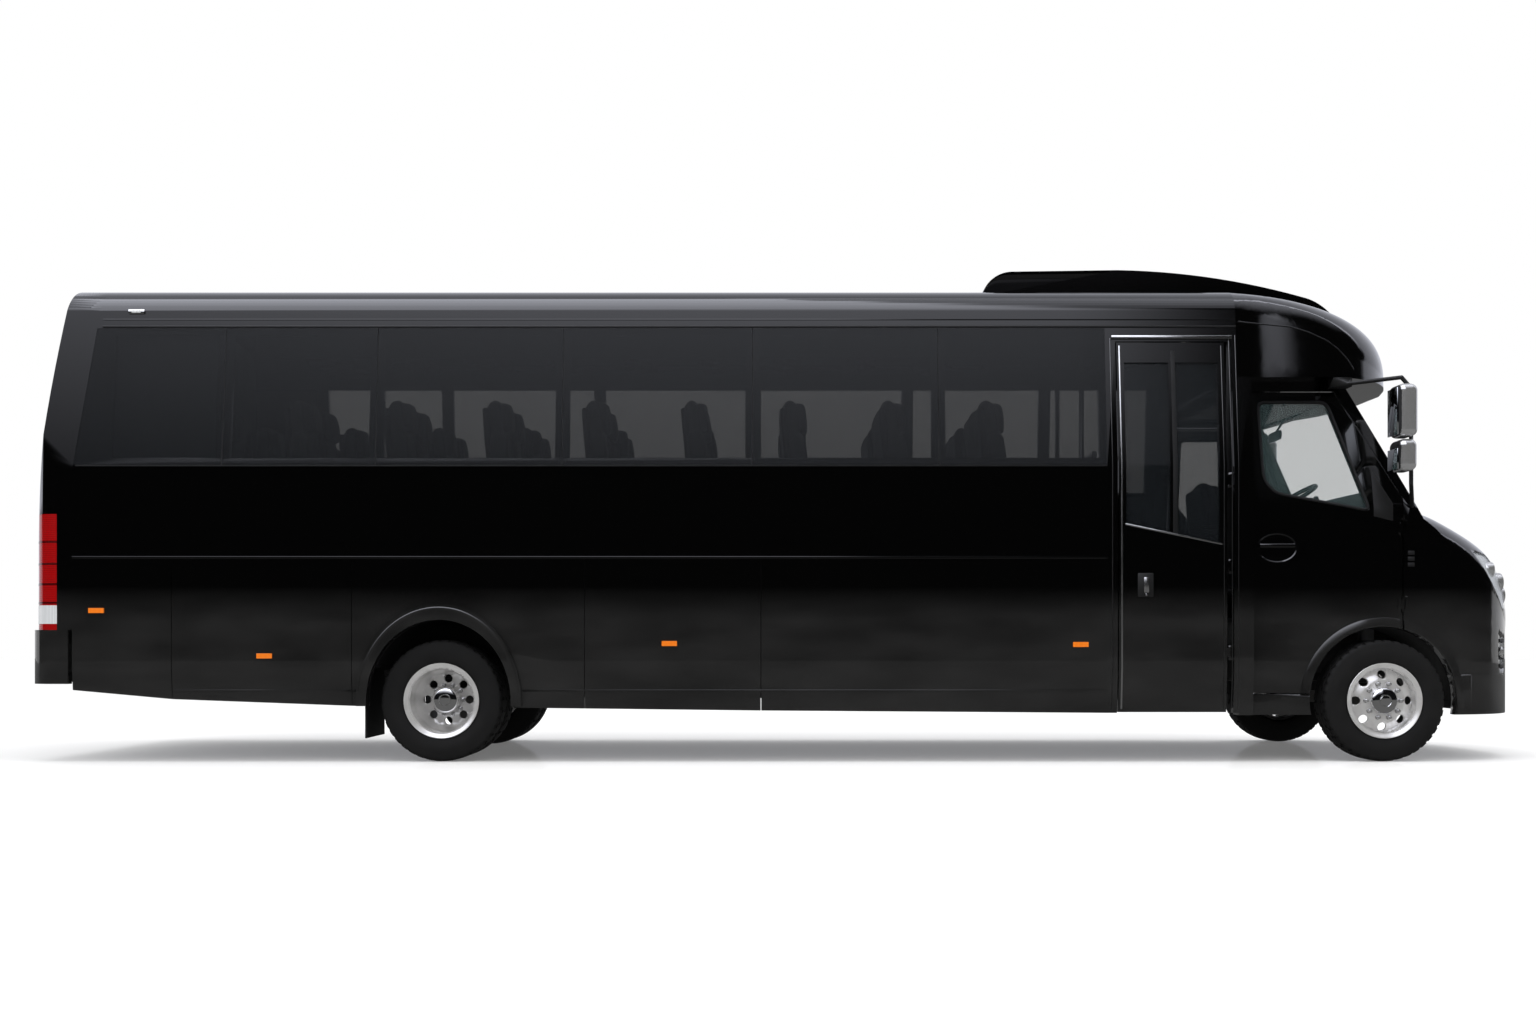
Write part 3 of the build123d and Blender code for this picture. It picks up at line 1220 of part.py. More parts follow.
FLAP_X = REAR_AXLE_X - 480.0
with BuildPart() as mud_flaps:
    for side in (1, -1):
        block((FLAP_X - 40, FLAP_X), span(side, rail_outer_y, 1095), (RAIL_BOTTOM_Z + 20, RAIL_BOTTOM_Z + 60))
        block((FLAP_X - 12, FLAP_X), span(side, 640, 1095), (150, RAIL_BOTTOM_Z + 60))
finish(mud_flaps, "mud_flaps")


# Wheels are turned about the axle; each profile is (radius, distance outwards from the tyre's middle)
def wheel_plane(axle_x):
    """Plane through an axle whose x is the radius and y runs across the coach."""
    return Plane(origin=(axle_x, 0, TYRE_RADIUS), x_dir=(1, 0, 0), z_dir=(0, 0, 1))


def tyre_profile(middle_y):
    """Half section of a tyre, bulging between bead and shoulder."""
    half = TYRE_WIDTH / 2
    bead = half - 28
    shoulder = (TYRE_RADIUS - 14, half - 18)
    crown = shoulder[1] - 16
    with BuildSketch() as profile:
        with BuildLine():
            Polyline(
                (shoulder[0], middle_y - shoulder[1]),
                (TYRE_RADIUS, middle_y - crown),
                (TYRE_RADIUS, middle_y + crown),
                (shoulder[0], middle_y + shoulder[1]),
            )
            ThreePointArc(
                (shoulder[0], middle_y + shoulder[1]),
                ((RIM_RADIUS + TYRE_RADIUS) / 2, middle_y + half),
                (RIM_RADIUS, middle_y + bead),
            )
            Line((RIM_RADIUS, middle_y + bead), (RIM_RADIUS, middle_y - bead))
            ThreePointArc(
                (RIM_RADIUS, middle_y - bead),
                ((RIM_RADIUS + TYRE_RADIUS) / 2, middle_y - half),
                (shoulder[0], middle_y - shoulder[1]),
            )
        make_face()
    return profile.sketch


BARREL = 17.0
RIM_HALF = TYRE_WIDTH / 2 - 26
HUB_RADIUS = 80.0
DISC = 14.0
FRONT_DISC_OUT = 62.0
TWIN_DISC = TWIN_SPACING / 2
HAND_HOLE_RADIUS = 27.0


def barrel_profile(middle_y):
    """Section of a rim's barrel, from bead seat to bead seat, on the open sketch."""
    with Locations((RIM_RADIUS - BARREL / 2, middle_y)):
        Rectangle(BARREL, 2 * RIM_HALF)


def hand_holes(axle_x, side, radius):
    """Ring of round holes through a wheel's disc."""
    with Locations(Plane(origin=(axle_x, side * WHEEL_PLANE_Y, TYRE_RADIUS), z_dir=(0, 1, 0))):
        with PolarLocations(radius, HAND_HOLES):
            Cylinder(HAND_HOLE_RADIUS, 2 * TWIN_SPACING, mode=Mode.SUBTRACT)


for side_name, side in SIDES:
    front_spin = Axis((FRONT_AXLE_X, 0, TYRE_RADIUS), (0, 1, 0))
    rear_spin = Axis((REAR_AXLE_X, 0, TYRE_RADIUS), (0, 1, 0))
    outer_y = side * WHEEL_PLANE_Y
    inner_y = side * (WHEEL_PLANE_Y - TWIN_SPACING)

    outer_section = tyre_profile(outer_y)
    inner_section = tyre_profile(inner_y)
    with BuildPart() as front_tyre:
        with BuildSketch(wheel_plane(FRONT_AXLE_X)):
            add(outer_section)
        revolve(axis=front_spin)
    finish(front_tyre, f"front_tyre_{side_name}")

    with BuildPart() as rear_tyres:
        with BuildSketch(wheel_plane(REAR_AXLE_X)):
            add(outer_section)
            add(inner_section)
        revolve(axis=rear_spin)
    finish(rear_tyres, f"rear_tyres_{side_name}")

    with BuildPart() as front_wheel:
        with BuildSketch(wheel_plane(FRONT_AXLE_X)):
            barrel_profile(outer_y)
            disc_out = outer_y + side * FRONT_DISC_OUT
            with BuildLine():
                Polyline(
                    (RIM_RADIUS - BARREL + 2, outer_y + side * 20),
                    (RIM_RADIUS - BARREL + 2, outer_y + side * (20 + DISC)),
                    (130, disc_out + side * DISC),
                    (HUB_RADIUS, disc_out + side * DISC),
                    (HUB_RADIUS, disc_out + side * 34),
                    (HUB_RADIUS - 18, disc_out + side * 46),
                    (0, disc_out + side * 46),
                    (0, outer_y + side * 60),
                    (SPINDLE_RADIUS + RUNNING_CLEARANCE, outer_y + side * 60),
                    (SPINDLE_RADIUS + RUNNING_CLEARANCE, outer_y - side * 46),
                    (HUB_RADIUS - 10, outer_y - side * 46),
                    (HUB_RADIUS, disc_out),
                    (130, disc_out),
                    close=True,
                )
            make_face()
        revolve(axis=front_spin)
        hand_holes(FRONT_AXLE_X, side, 168)
    finish(front_wheel, f"front_wheel_{side_name}")

    with BuildPart() as rear_wheels:
        with BuildSketch(wheel_plane(REAR_AXLE_X)):
            barrel_profile(outer_y)
            barrel_profile(inner_y)
            disc_y = outer_y - side * TWIN_DISC
            for rim_y, facing in ((outer_y, side), (inner_y, -side)):
                with BuildLine():
                    Polyline(
                        (RIM_RADIUS - BARREL + 2, rim_y - facing * 34),
                        (RIM_RADIUS - BARREL + 2, rim_y - facing * (34 + DISC)),
                        (165, disc_y),
                        (HUB_RADIUS, disc_y),
                        (HUB_RADIUS, disc_y + facing * DISC),
                        (172, disc_y + facing * DISC),
                        close=True,
                    )
                make_face()
            hub_end = outer_y - side * 6
            with BuildLine():
                Polyline(
                    (HALF_SHAFT_RADIUS + RUNNING_CLEARANCE, disc_y - side * 60),
                    (HUB_RADIUS + 4, disc_y - side * 60),
                    (HUB_RADIUS + 4, hub_end - side * 20),
                    (HUB_RADIUS - 16, hub_end),
                    (0, hub_end),
                    (0, hub_end - side * 11),
                    (HALF_SHAFT_RADIUS + RUNNING_CLEARANCE, hub_end - side * 11),
                    close=True,
                )
            make_face()
        revolve(axis=rear_spin)
        hand_holes(REAR_AXLE_X, side, 138)
    finish(rear_wheels, f"rear_wheels_{side_name}")

# Mirrors: a bent tube from the dome's lower edge carries two heads a side
ARM_RADIUS = 13.0
MIRROR_ROUND = 45.0
MIRROR_Y = 1320.0
ARM_X = 3880.0
ARM_BASE = (3535.0, 1050.0)
MIRROR_HEADS = (
    # middle along, middle up, along, across, up
    (3830.0, 2215.0, 130.0, 190.0, 330.0),
    (3830.0, 1935.0, 120.0, 190.0, 200.0),
)
STAY_FOOT = (3985.0, 1640.0)


def mirror_head(along, across, up, size):
    """One rounded mirror head."""
    with BuildPart() as head:
        with Locations((along, across, up)):
            Box(*size)
        fillet(head.edges(), radius=MIRROR_ROUND)
    return head.part


heads = [
    mirror_head(along, side * MIRROR_Y, up, (long, wide, tall))
    for along, up, long, wide, tall in MIRROR_HEADS
    for side in (1, -1)
]
with BuildPart() as mirrors:
    add(heads)
    for side in (1, -1):
        base = (ARM_BASE[0], side * ARM_BASE[1], DOME_Z - 40)
        elbow = (ARM_X - 60, side * MIRROR_Y, DOME_Z - 40)
        crook = (ARM_X, side * MIRROR_Y, DOME_Z - 110)
        foot = (ARM_X, side * MIRROR_Y, 1760)
        stay = (STAY_FOOT[0], side * (CAB_HALF - 4), STAY_FOOT[1])
        block(
            (ARM_BASE[0] - 60, ARM_BASE[0] + 60),
            span(side, ARM_BASE[1] - 45, ARM_BASE[1] + 45),
            (DOME_Z - 60, DOME_Z),
        )
        joints = (base, elbow, crook, foot, stay)
        for start, end in zip(joints, joints[1:]):
            rod(start, end, ARM_RADIUS)
        with Locations(elbow, crook, foot):
            Sphere(ARM_RADIUS)
    add(cab_outside, mode=Mode.SUBTRACT)
finish(mirrors, "mirrors")
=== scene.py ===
"""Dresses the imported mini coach: finishes, tread, trim, lamps, seats, fittings and the studio."""

import json
from math import atan2, cos, pi, radians, sin, sqrt, tanh

import bpy
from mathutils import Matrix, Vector


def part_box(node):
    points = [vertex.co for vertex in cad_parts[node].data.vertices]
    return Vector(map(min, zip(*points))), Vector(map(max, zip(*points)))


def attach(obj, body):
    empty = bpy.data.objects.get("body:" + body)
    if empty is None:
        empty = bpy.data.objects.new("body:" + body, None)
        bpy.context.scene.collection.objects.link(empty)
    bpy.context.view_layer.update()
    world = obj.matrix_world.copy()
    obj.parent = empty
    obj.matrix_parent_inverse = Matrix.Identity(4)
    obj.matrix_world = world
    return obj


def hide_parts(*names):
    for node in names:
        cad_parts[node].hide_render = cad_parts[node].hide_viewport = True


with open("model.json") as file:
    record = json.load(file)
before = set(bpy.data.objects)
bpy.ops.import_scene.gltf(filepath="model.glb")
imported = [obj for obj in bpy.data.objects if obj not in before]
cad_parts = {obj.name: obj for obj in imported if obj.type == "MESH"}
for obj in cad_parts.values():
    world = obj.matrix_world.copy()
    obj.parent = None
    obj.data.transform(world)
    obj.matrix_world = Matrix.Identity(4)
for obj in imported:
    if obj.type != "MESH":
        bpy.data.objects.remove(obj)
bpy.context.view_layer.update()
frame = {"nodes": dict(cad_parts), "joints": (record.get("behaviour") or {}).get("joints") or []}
nodes = frame["nodes"]
pivots = {joint["name"]: Vector(joint["pos_m"]) for joint in frame["joints"]}

# Which hand a side is on, and the sign of its y
SIDES = (("left", 1), ("right", -1))

# The photograph's camera: image size in pixels, lens in millimetres, place in metres
IMAGE_WIDTH = 1536
IMAGE_HEIGHT = 1024
HORIZON_ROW = 644
SENSOR_WIDTH = 36.0
LENS = 35.9
CAMERA_PLACE = (-0.155, -10.93, 0.755)


class Field:
    """A shader value that takes part in Python sums."""

    def __init__(self, finish, socket):
        self.finish = finish
        self.socket = socket

    def maths(self, operation, first, second):
        return self.finish.node("ShaderNodeMath", {"operation": operation}, {0: first, 1: second})

    def __add__(self, other):
        return self.maths("ADD", self, other)

    __radd__ = __add__

    def __sub__(self, other):
        return self.maths("SUBTRACT", self, other)

    def __rsub__(self, other):
        return self.maths("SUBTRACT", other, self)

    def __mul__(self, other):
        return self.maths("MULTIPLY", self, other)

    __rmul__ = __mul__

    def __truediv__(self, other):
        return self.maths("DIVIDE", self, other)

    def __gt__(self, other):
        return self.maths("GREATER_THAN", self, other)

    def __pow__(self, other):
        return self.maths("POWER", self, other)


class Finish:
    """A material, or the world, under construction, with one method that makes its nodes."""

    def __init__(self, name, tree=None):
        if tree is None:
            self.material = bpy.data.materials.new(name)
            self.material.use_nodes = True
            tree = self.material.node_tree
        self.tree = tree
        self.shader = tree.nodes.get("Principled BSDF")

    def fill(self, socket, value):
        if isinstance(value, Field):
            self.tree.links.new(value.socket, socket)
        else:
            socket.default_value = value

    def node(self, kind, settings=None, sockets=None, output=0):
        made = self.tree.nodes.new(kind)
        for setting, value in (settings or {}).items():
            setattr(made, setting, value)
        for socket, value in (sockets or {}).items():
            self.fill(made.inputs[socket], value)
        return Field(self, made.outputs[output])

    def surface(self, sockets):
        for socket, value in sockets.items():
            self.fill(self.shader.inputs[socket], value)
        return self.material

    def place(self, stretch=None):
        """Object coordinates, in metres, stretched along each axis."""
        spot = self.node("ShaderNodeTexCoord", output="Object")
        if not stretch:
            return spot
        return self.node("ShaderNodeVectorMath", {"operation": "MULTIPLY"}, {0: spot, 1: stretch})

    def axis(self, name):
        return self.node("ShaderNodeSeparateXYZ", None, {0: self.place()}, name)

    def noise(self, scale, detail, stretch=None):
        sockets = {"Vector": self.place(stretch), "Scale": scale, "Detail": detail}
        return self.node("ShaderNodeTexNoise", None, sockets, "Fac")

    def ridges(self, axis, half_pitch):
        """A height that runs up and down along an axis, from 0 to half the pitch."""
        return self.node("ShaderNodeMath", {"operation": "PINGPONG"}, {0: self.axis(axis), 1: half_pitch})

    def ramp(self, value, start, end, top=1.0, kind="LINEAR"):
        """A value that climbs from 0 to its top between a start and an end."""
        sockets = {0: value, 1: start, 2: end, 3: 0.0, 4: top}
        return self.node("ShaderNodeMapRange", {"interpolation_type": kind}, sockets)

    def rays(self, *names):
        return [self.node("ShaderNodeLightPath", output=name) for name in names]

    def blend(self, factor, first, second):
        """A colour between two, by a factor."""
        sockets = {0: factor, 6: first, 7: second}
        return self.node("ShaderNodeMix", {"data_type": "RGBA"}, sockets, 2)

    def bump(self, height, distance, strength=1.0):
        sockets = {"Height": height, "Distance": distance, "Strength": strength}
        return self.node("ShaderNodeBump", None, sockets, "Normal")


def shade(level, tint=(1.0, 1.0, 1.0)):
    """A grey of a level, tinted, as an opaque colour."""
    return (level * tint[0], level * tint[1], level * tint[2], 1.0)


# Finishes

# Heights at which the paler, rougher band low on the paint starts and is full
LOW_BAND_Z = (1.12, 0.9)


def coach_paint():
    """Gloss black lacquer with a faint orange peel, paler and rougher low down in broken patches."""
    finish = Finish("coach_paint")
    peel = finish.noise(140.0, 1.0)
    # The paint turns paler and rougher towards the bottom, broken up by noise
    low_band = finish.ramp(finish.axis("Z"), *LOW_BAND_Z) * finish.noise(5.0, 5.0, (0.35, 1.0, 1.0))
    return finish.surface({
        "Base Color": finish.blend(low_band, shade(0.0006), shade(0.024, (1.0, 0.99, 0.98))),
        "Roughness": 0.12 + 0.16 * low_band,
        "Specular IOR Level": 0.3,
        "Coat Weight": 1.0,
        "Coat Roughness": 0.015,
        "Normal": finish.bump(peel, 0.00004),
    })


def tinted_glass(name, tint, cover, rough=0.01):
    """Safety glass that covers a share of what lies behind it, with a roller wave along X."""
    finish = Finish(name)
    wave = finish.noise(1.6, 1.0, (1.0, 1.0, 0.3))
    streak = finish.noise(9.0, 4.0, (1.0, 1.0, 0.25))
    return finish.surface({
        "Base Color": finish.blend(streak, tint, shade(0.8, tint)),
        "Roughness": rough + 0.02 * streak,
        "Alpha": cover,
        "IOR": 1.5,
        "Normal": finish.bump(wave, 0.0003),
    })


def polished_rim(name, wheel_x):
    """Polished aluminium with fine turning rings about a wheel's own axle."""
    finish = Finish(name)
    out_x = finish.axis("X") - wheel_x
    out_z = finish.axis("Z") - AXLE_Z
    radius = (out_x * out_x + out_z * out_z) ** 0.5
    sockets = {"W": radius, "Scale": 900.0}
    rings = finish.node("ShaderNodeTexNoise", {"noise_dimensions": "1D"}, sockets, "Fac")
    smear = finish.noise(16.0, 5.0)
    brake_dust = finish.ramp(smear, 0.5, 0.8, 0.35)
    return finish.surface({
        "Base Color": finish.blend(brake_dust, shade(0.7, (1.0, 0.99, 0.98)), shade(0.42, (1.0, 0.97, 0.93))),
        "Metallic": 0.45,
        "Roughness": 0.16 + 0.12 * smear,
        "Normal": finish.bump(rings, 0.00008),
    })


def grained(name, colour, rough, grain_scale, grain_depth, metallic=0.0, worn=0.5, coat=0.0):
    """A solid colour with a grain and a slow drift in shade and gloss."""
    finish = Finish(name)
    drift = finish.noise(7.0, 4.0)
    grain = finish.noise(grain_scale, 2.0)
    return finish.surface({
        "Base Color": finish.blend(drift, colour, shade(worn, colour)),
        "Roughness": rough + 0.15 * (drift - 0.5),
        "Metallic": metallic,
        "Coat Weight": coat,
        "Normal": finish.bump(grain, grain_depth),
    })


def lens(name, colour, rib_pitch, rib_axis="Z", cover=1.0, glow=0.0):
    """Moulded lamp plastic with fine optic ribs and painted shade in their roots."""
    finish = Finish(name)
    share = finish.ridges(rib_axis, rib_pitch / 2) / (rib_pitch / 2)
    return finish.surface({
        # The rib roots take a darker copy of the colour: painted shade in the hollows between the ribs
        "Base Color": finish.blend(share, shade(0.55, colour), colour),
        "Roughness": 0.06 + 0.05 * share,
        "Alpha": cover,
        "Coat Weight": 1.0,
        "Emission Color": colour,
        "Emission Strength": glow,
        "Normal": finish.bump(share, 0.0006),
    })


HALF_YARN = 0.0016


def seat_cloth():
    """Dark woven cloth with crossed yarns, painted shade in the dips between them, and a faint fleck."""
    finish = Finish("seat_cloth")
    weave = (finish.ridges("Y", HALF_YARN) + finish.ridges("Z", HALF_YARN)) * 300.0
    fleck = finish.noise(90.0, 2.0) > 0.62
    # Lighter on the yarn crowns and darker in the dips between them: painted shade that follows the weave's
    # relief
    yarn_with_painted_shade = finish.blend(weave * 0.8, shade(0.012), shade(0.03, (1.0, 1.0, 1.06)))
    return finish.surface({
        "Base Color": finish.blend(fleck * 0.5, yarn_with_painted_shade, shade(0.06, (0.9, 0.95, 1.1))),
        "Roughness": 0.92 - 0.1 * fleck,
        "Sheen Weight": 0.25,
        "Normal": finish.bump(weave, 0.0006),
    })


def tyre_rubber():
    """Tyre rubber, dull and slightly brown where it has aged, with fine moulding rings."""
    finish = Finish("tyre_rubber")
    age = finish.noise(11.0, 5.0)
    fine = finish.noise(420.0, 2.0)
    return finish.surface({
        "Base Color": finish.blend(age, shade(0.005), shade(0.011, (1.0, 0.97, 0.94))),
        "Roughness": 0.6 + 0.2 * age,
        "Specular IOR Level": 0.22,
        "Normal": finish.bump(fine, 0.0002),
    })


FRONT_AXLE_X = pivots["front_spin_left"].x
REAR_AXLE_X = pivots["rear_spin_left"].x
AXLE_Z = pivots["front_spin_left"].z

paint = coach_paint()
window_tint = tinted_glass("window_tint", shade(0.008, (0.85, 1.0, 1.15)), 0.57)
door_tint = tinted_glass("door_tint", shade(0.012, (0.85, 1.0, 1.15)), 0.68)
cab_tint = tinted_glass("cab_tint", shade(0.15, (0.66, 1.0, 1.02)), 0.19)
screen_tint = tinted_glass("screen_tint", shade(0.04, (0.75, 1.0, 1.0)), 0.16)
front_rim = polished_rim("front_rim", FRONT_AXLE_X)
rear_rim = polished_rim("rear_rim", REAR_AXLE_X)
cloth = seat_cloth()
chassis_black = grained("chassis_black", shade(0.022), 0.5, 60.0, 0.0004)
cast_iron = grained("cast_iron", shade(0.12, (1.0, 0.96, 0.9)), 0.62, 160.0, 0.0008, metallic=0.6)
dull_steel = grained("dull_steel", shade(0.4, (1.0, 0.95, 0.88)), 0.38, 90.0, 0.0002, metallic=1.0)
bright_steel = grained("bright_steel", shade(0.72), 0.22, 300.0, 0.00005, metallic=1.0, worn=0.85)
# A darker copy of the bright steel: painted shade for the strips at the door's front edge and on the door
# frame
shaded_steel = grained("shaded_steel", shade(0.16), 0.3, 300.0, 0.00005, metallic=1.0, worn=0.85)
silver = grained("silver", shade(0.62), 0.16, 60.0, 0.00003, metallic=0.78, worn=0.9)
chrome = grained("chrome", shade(0.85), 0.06, 40.0, 0.00002, metallic=1.0, worn=0.95)
soft_black = grained("soft_black", shade(0.007), 0.5, 500.0, 0.0003, worn=0.75)
seal_rubber = grained("seal_rubber", shade(0.004), 0.7, 380.0, 0.0002)
floor_vinyl = grained("floor_vinyl", shade(0.07, (0.97, 1.0, 1.05)), 0.6, 240.0, 0.0003)
trim_liner = grained("trim_liner", shade(0.1, (1.0, 0.99, 0.97)), 0.75, 320.0, 0.0004)
red_lens = lens("red_lens", (0.34, 0.001, 0.0015, 1.0), 0.012, glow=0.1)
deep_red_lens = lens("deep_red_lens", (0.09, 0.0005, 0.001, 1.0), 0.02)
amber_lens = lens("amber_lens", (0.85, 0.2, 0.015, 1.0), 0.008, "X", glow=0.25)
white_lens = lens("white_lens", (0.8, 0.82, 0.84, 1.0), 0.01, "X")
clear_lens = lens("clear_lens", (0.75, 0.8, 0.84, 1.0), 0.03, "Y", cover=0.22)

# Record slots with the finishes that most pieces there take
PAINT = ("black_paint", paint)
TRIM = ("trim_black", soft_black)
RUBBER = ("flap_rubber", seal_rubber)
CHROME = ("mirror_chrome", chrome)
STEEL = ("rail_steel", bright_steel)
TREAD_RUBBER = ("tyre_rubber", tyre_rubber())


# Workshop: the steps that pieces share

def only(*objs):
    """Selects just these objects, the first one active."""
    bpy.ops.object.select_all(action="DESELECT")
    for obj in objs:
        obj.select_set(True)
    bpy.context.view_layer.objects.active = objs[0]


def modified(obj, kind, settings):
    """Adds a modifier and applies it."""
    only(obj)
    made = obj.modifiers.new(kind, kind)
    for setting, value in settings.items():
        setattr(made, setting, value)
    bpy.ops.object.modifier_apply(modifier=made.name)


def edited(obj, *steps, faces=None):
    """Runs edit-mode operators, each with its settings, on a whole mesh or on the faces that pass a test."""
    only(obj)
    bpy.ops.object.mode_set(mode="EDIT")
    bpy.ops.mesh.select_all(action="DESELECT" if faces else "SELECT")
    if faces:
        bpy.ops.object.mode_set(mode="OBJECT")
        for face in obj.data.polygons:
            face.select = faces(face)
        bpy.ops.object.mode_set(mode="EDIT")
    for operator, settings in steps:
        operator(**settings)
    bpy.ops.object.mode_set(mode="OBJECT")
    return obj


def eased(obj, width, segments=2, angle=35.0):
    """Rounds the sharp edges and shades the rest smooth."""
    turn = radians(angle)
    if width:
        limits = {"limit_method": "ANGLE", "angle_limit": turn}
        modified(obj, "BEVEL", {"width": width, "segments": segments, **limits})
    only(obj)
    bpy.ops.object.shade_smooth_by_angle(angle=turn)
    return obj


def applied(obj):
    """Takes an object's place, turn and scale into its mesh."""
    only(obj)
    bpy.ops.object.transform_apply(location=True, rotation=True, scale=True)
    return obj


def settle(obj, name, slot, finish, *stands_for, body="chassis"):
    """Gives a finished piece its name, finish and body; its slot argument is not used."""
    applied(obj)
    obj.name = name
    obj.data.name = name
    obj.data.materials.clear()
    obj.data.materials.append(finish)
    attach(obj, body)
    if stands_for:
        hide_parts(*stands_for)
    return obj


def joined(objs):
    """One object from several."""
    only(*objs)
    if len(objs) > 1:
        bpy.ops.object.join()
    return objs[0]


def turned_copies(obj, centre, count):
    """The object repeated around an axle, joined to one."""
    ring = [obj]
    for step in range(1, count):
        twin = obj.copy()
        twin.data = obj.data.copy()
        bpy.context.scene.collection.objects.link(twin)
        only(twin)
        bpy.ops.transform.rotate(value=2 * pi * step / count, orient_axis="Y", center_override=centre)
        ring.append(twin)
    return joined(ring)


SELECT_ALL = (bpy.ops.mesh.select_all, {"action": "SELECT"})
FACE_OUTWARDS = (bpy.ops.mesh.normals_make_consistent, {"inside": False})


def bar(low, high, edge=0.003, segments=2):
    """A straight bar between two corners, its edges eased."""
    middle = [(a + b) / 2 for a, b in zip(low, high)]
    sizes = [abs(b - a) for a, b in zip(low, high)]
    bpy.ops.mesh.primitive_cube_add(size=1, location=middle, scale=sizes)
    return eased(applied(bpy.context.active_object), edge, segments)


def drum(centre, radius, length, axis="Y", sides=48, edge=0.003):
    """A round boss along an axis, its rims eased."""
    turn = {"X": (0, pi / 2, 0), "Y": (pi / 2, 0, 0)}[axis]
    bpy.ops.mesh.primitive_cylinder_add(
        vertices=sides, radius=radius, depth=length, location=centre, rotation=turn
    )
    return eased(applied(bpy.context.active_object), edge)


def block(cuts):
    """A cube from -1 to 1 on each axis, its faces cut into grids."""
    bpy.ops.mesh.primitive_cube_add(size=2)
    return edited(bpy.context.active_object, (bpy.ops.mesh.subdivide, {"number_cuts": cuts}))


def profile(points):
    """An edge chain through points, drawn by extruding one vertex."""
    bpy.ops.mesh.primitive_plane_add(size=0.01, location=(0, 0, 0))
    steps = [[b - a for a, b in zip(last, point)] for last, point in zip(points, points[1:])]
    return edited(
        bpy.context.active_object,
        (bpy.ops.mesh.merge, {"type": "CENTER"}),
        (bpy.ops.transform.translate, {"value": points[0]}),
        *((bpy.ops.mesh.extrude_region_move, {"TRANSFORM_OT_translate": {"value": step}}) for step in steps),
    )


def lathe(points, centre, steps):
    """A profile spun once round an axle along Y and closed."""
    turn = {"steps": steps, "angle": 2 * pi, "center": centre, "axis": (0, 1, 0)}
    return edited(
        profile(points),
        (bpy.ops.mesh.spin, turn),
        SELECT_ALL,
        (bpy.ops.mesh.remove_doubles, {"threshold": 0.00005}),
        FACE_OUTWARDS,
    )


def tube(points, radius, ends=True):
    """A bent tube through points, as a mesh."""
    bpy.ops.curve.primitive_nurbs_path_add(location=(0, 0, 0))
    piece = bpy.context.active_object
    piece.data.splines.clear()
    spline = piece.data.splines.new("POLY")
    spline.points.add(len(points) - 1)
    for knot, point in zip(spline.points, points):
        knot.co = (*point, 1.0)
    piece.data.bevel_depth = radius
    piece.data.bevel_resolution = 3
    piece.data.use_fill_caps = ends
    only(piece)
    bpy.ops.object.convert(target="MESH")
    return eased(bpy.context.active_object, 0.0, angle=50.0)


def hit(obj, start, way):
    """Where a ray first meets a piece, if it does."""
    met, spot, normal, face = obj.ray_cast(start, way)
    return spot if met else None


def cad_copy(node, name):
    """A copy of a CAD node with its seams merged."""
    piece = bpy.data.objects.new(name, nodes[node].data.copy())
    bpy.context.scene.collection.objects.link(piece)
    return edited(piece, (bpy.ops.mesh.remove_doubles, {"threshold": 0.00002}))


def dressed(node, slot, finish, edge=0.0, angle=30.0, body="chassis"):
    """A merged, smoothed copy of a CAD node that stands for it, its sharp edges eased."""
    piece = eased(cad_copy(node, node + "_dressed"), edge, angle=angle)
    modified(piece, "WEIGHTED_NORMAL", {"weight": 80, "keep_sharp": True})
    return settle(piece, node + "_dressed", slot, finish, node, body=body)


def cushion(low, high, puff, taper=0.0, lean=0.0):
    """A stuffed block: its faces crowned, its corners drawn in, its top narrowed and leant back."""
    piece = block(7)
    middle = [(a + b) / 2 for a, b in zip(low, high)]
    half = [(b - a) / 2 for a, b in zip(low, high)]
    for corner in piece.data.vertices:
        u, v, w = corner.co
        round_u, round_v, round_w = (
            along * sqrt(1 - puff * (a * a + b * b) / 2 + puff * puff * a * a * b * b / 3)
            for along, a, b in ((u, v, w), (v, u, w), (w, u, v))
        )
        round_v *= 1 - taper * max(0.0, (w - 0.4) / 0.6) ** 2
        corner.co = (
            middle[0] + half[0] * round_u - lean * half[2] * round_w,
            middle[1] + half[1] * round_v,
            middle[2] + half[2] * round_w,
        )
    return eased(piece, 0.0, angle=60.0)


# CAD nodes dressed as they are

PAINTED = (
    "left_wall right_wall skirt_panels rear_cap rear_arch_flares roof_shell roof_air_unit front_dome "
    "front_posts door_frame rear_bumper cab_shell front_bumper"
)
skins = {node: dressed(node, *PAINT) for node in PAINTED.split()}
dressed("saloon_windows", "tinted_glass", window_tint)
dressed("windscreen", "clear_glass", screen_tint)

# The dome's sides, drawn in softly to the line of the roof's sides ahead of the seam
DOME_LOW, DOME_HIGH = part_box("front_dome")
DOME_SIDE_Z = 2.5
DOME_SIDE_SLOPE = 0.11
DOME_EASE = 0.03
DOME_INSET = 0.008
DOME_SEAM = 0.02
DOME_BLEND = 0.13
dome = skins["front_dome"]
for corner in dome.data.vertices:
    limit = DOME_HIGH.y - DOME_INSET - DOME_SIDE_SLOPE * max(0.0, corner.co.z - DOME_SIDE_Z) - DOME_EASE
    beyond = abs(corner.co.y) - limit
    if beyond > 0:
        share = min(1.0, max(0.0, (corner.co.x - DOME_LOW.x - DOME_SEAM) / DOME_BLEND))
        share = share * share * (3 - 2 * share)
        drawn = DOME_EASE * tanh(beyond / DOME_EASE) - beyond
        corner.co.y *= 1 + share * drawn / abs(corner.co.y)
eased(dome, 0.0, angle=40.0)

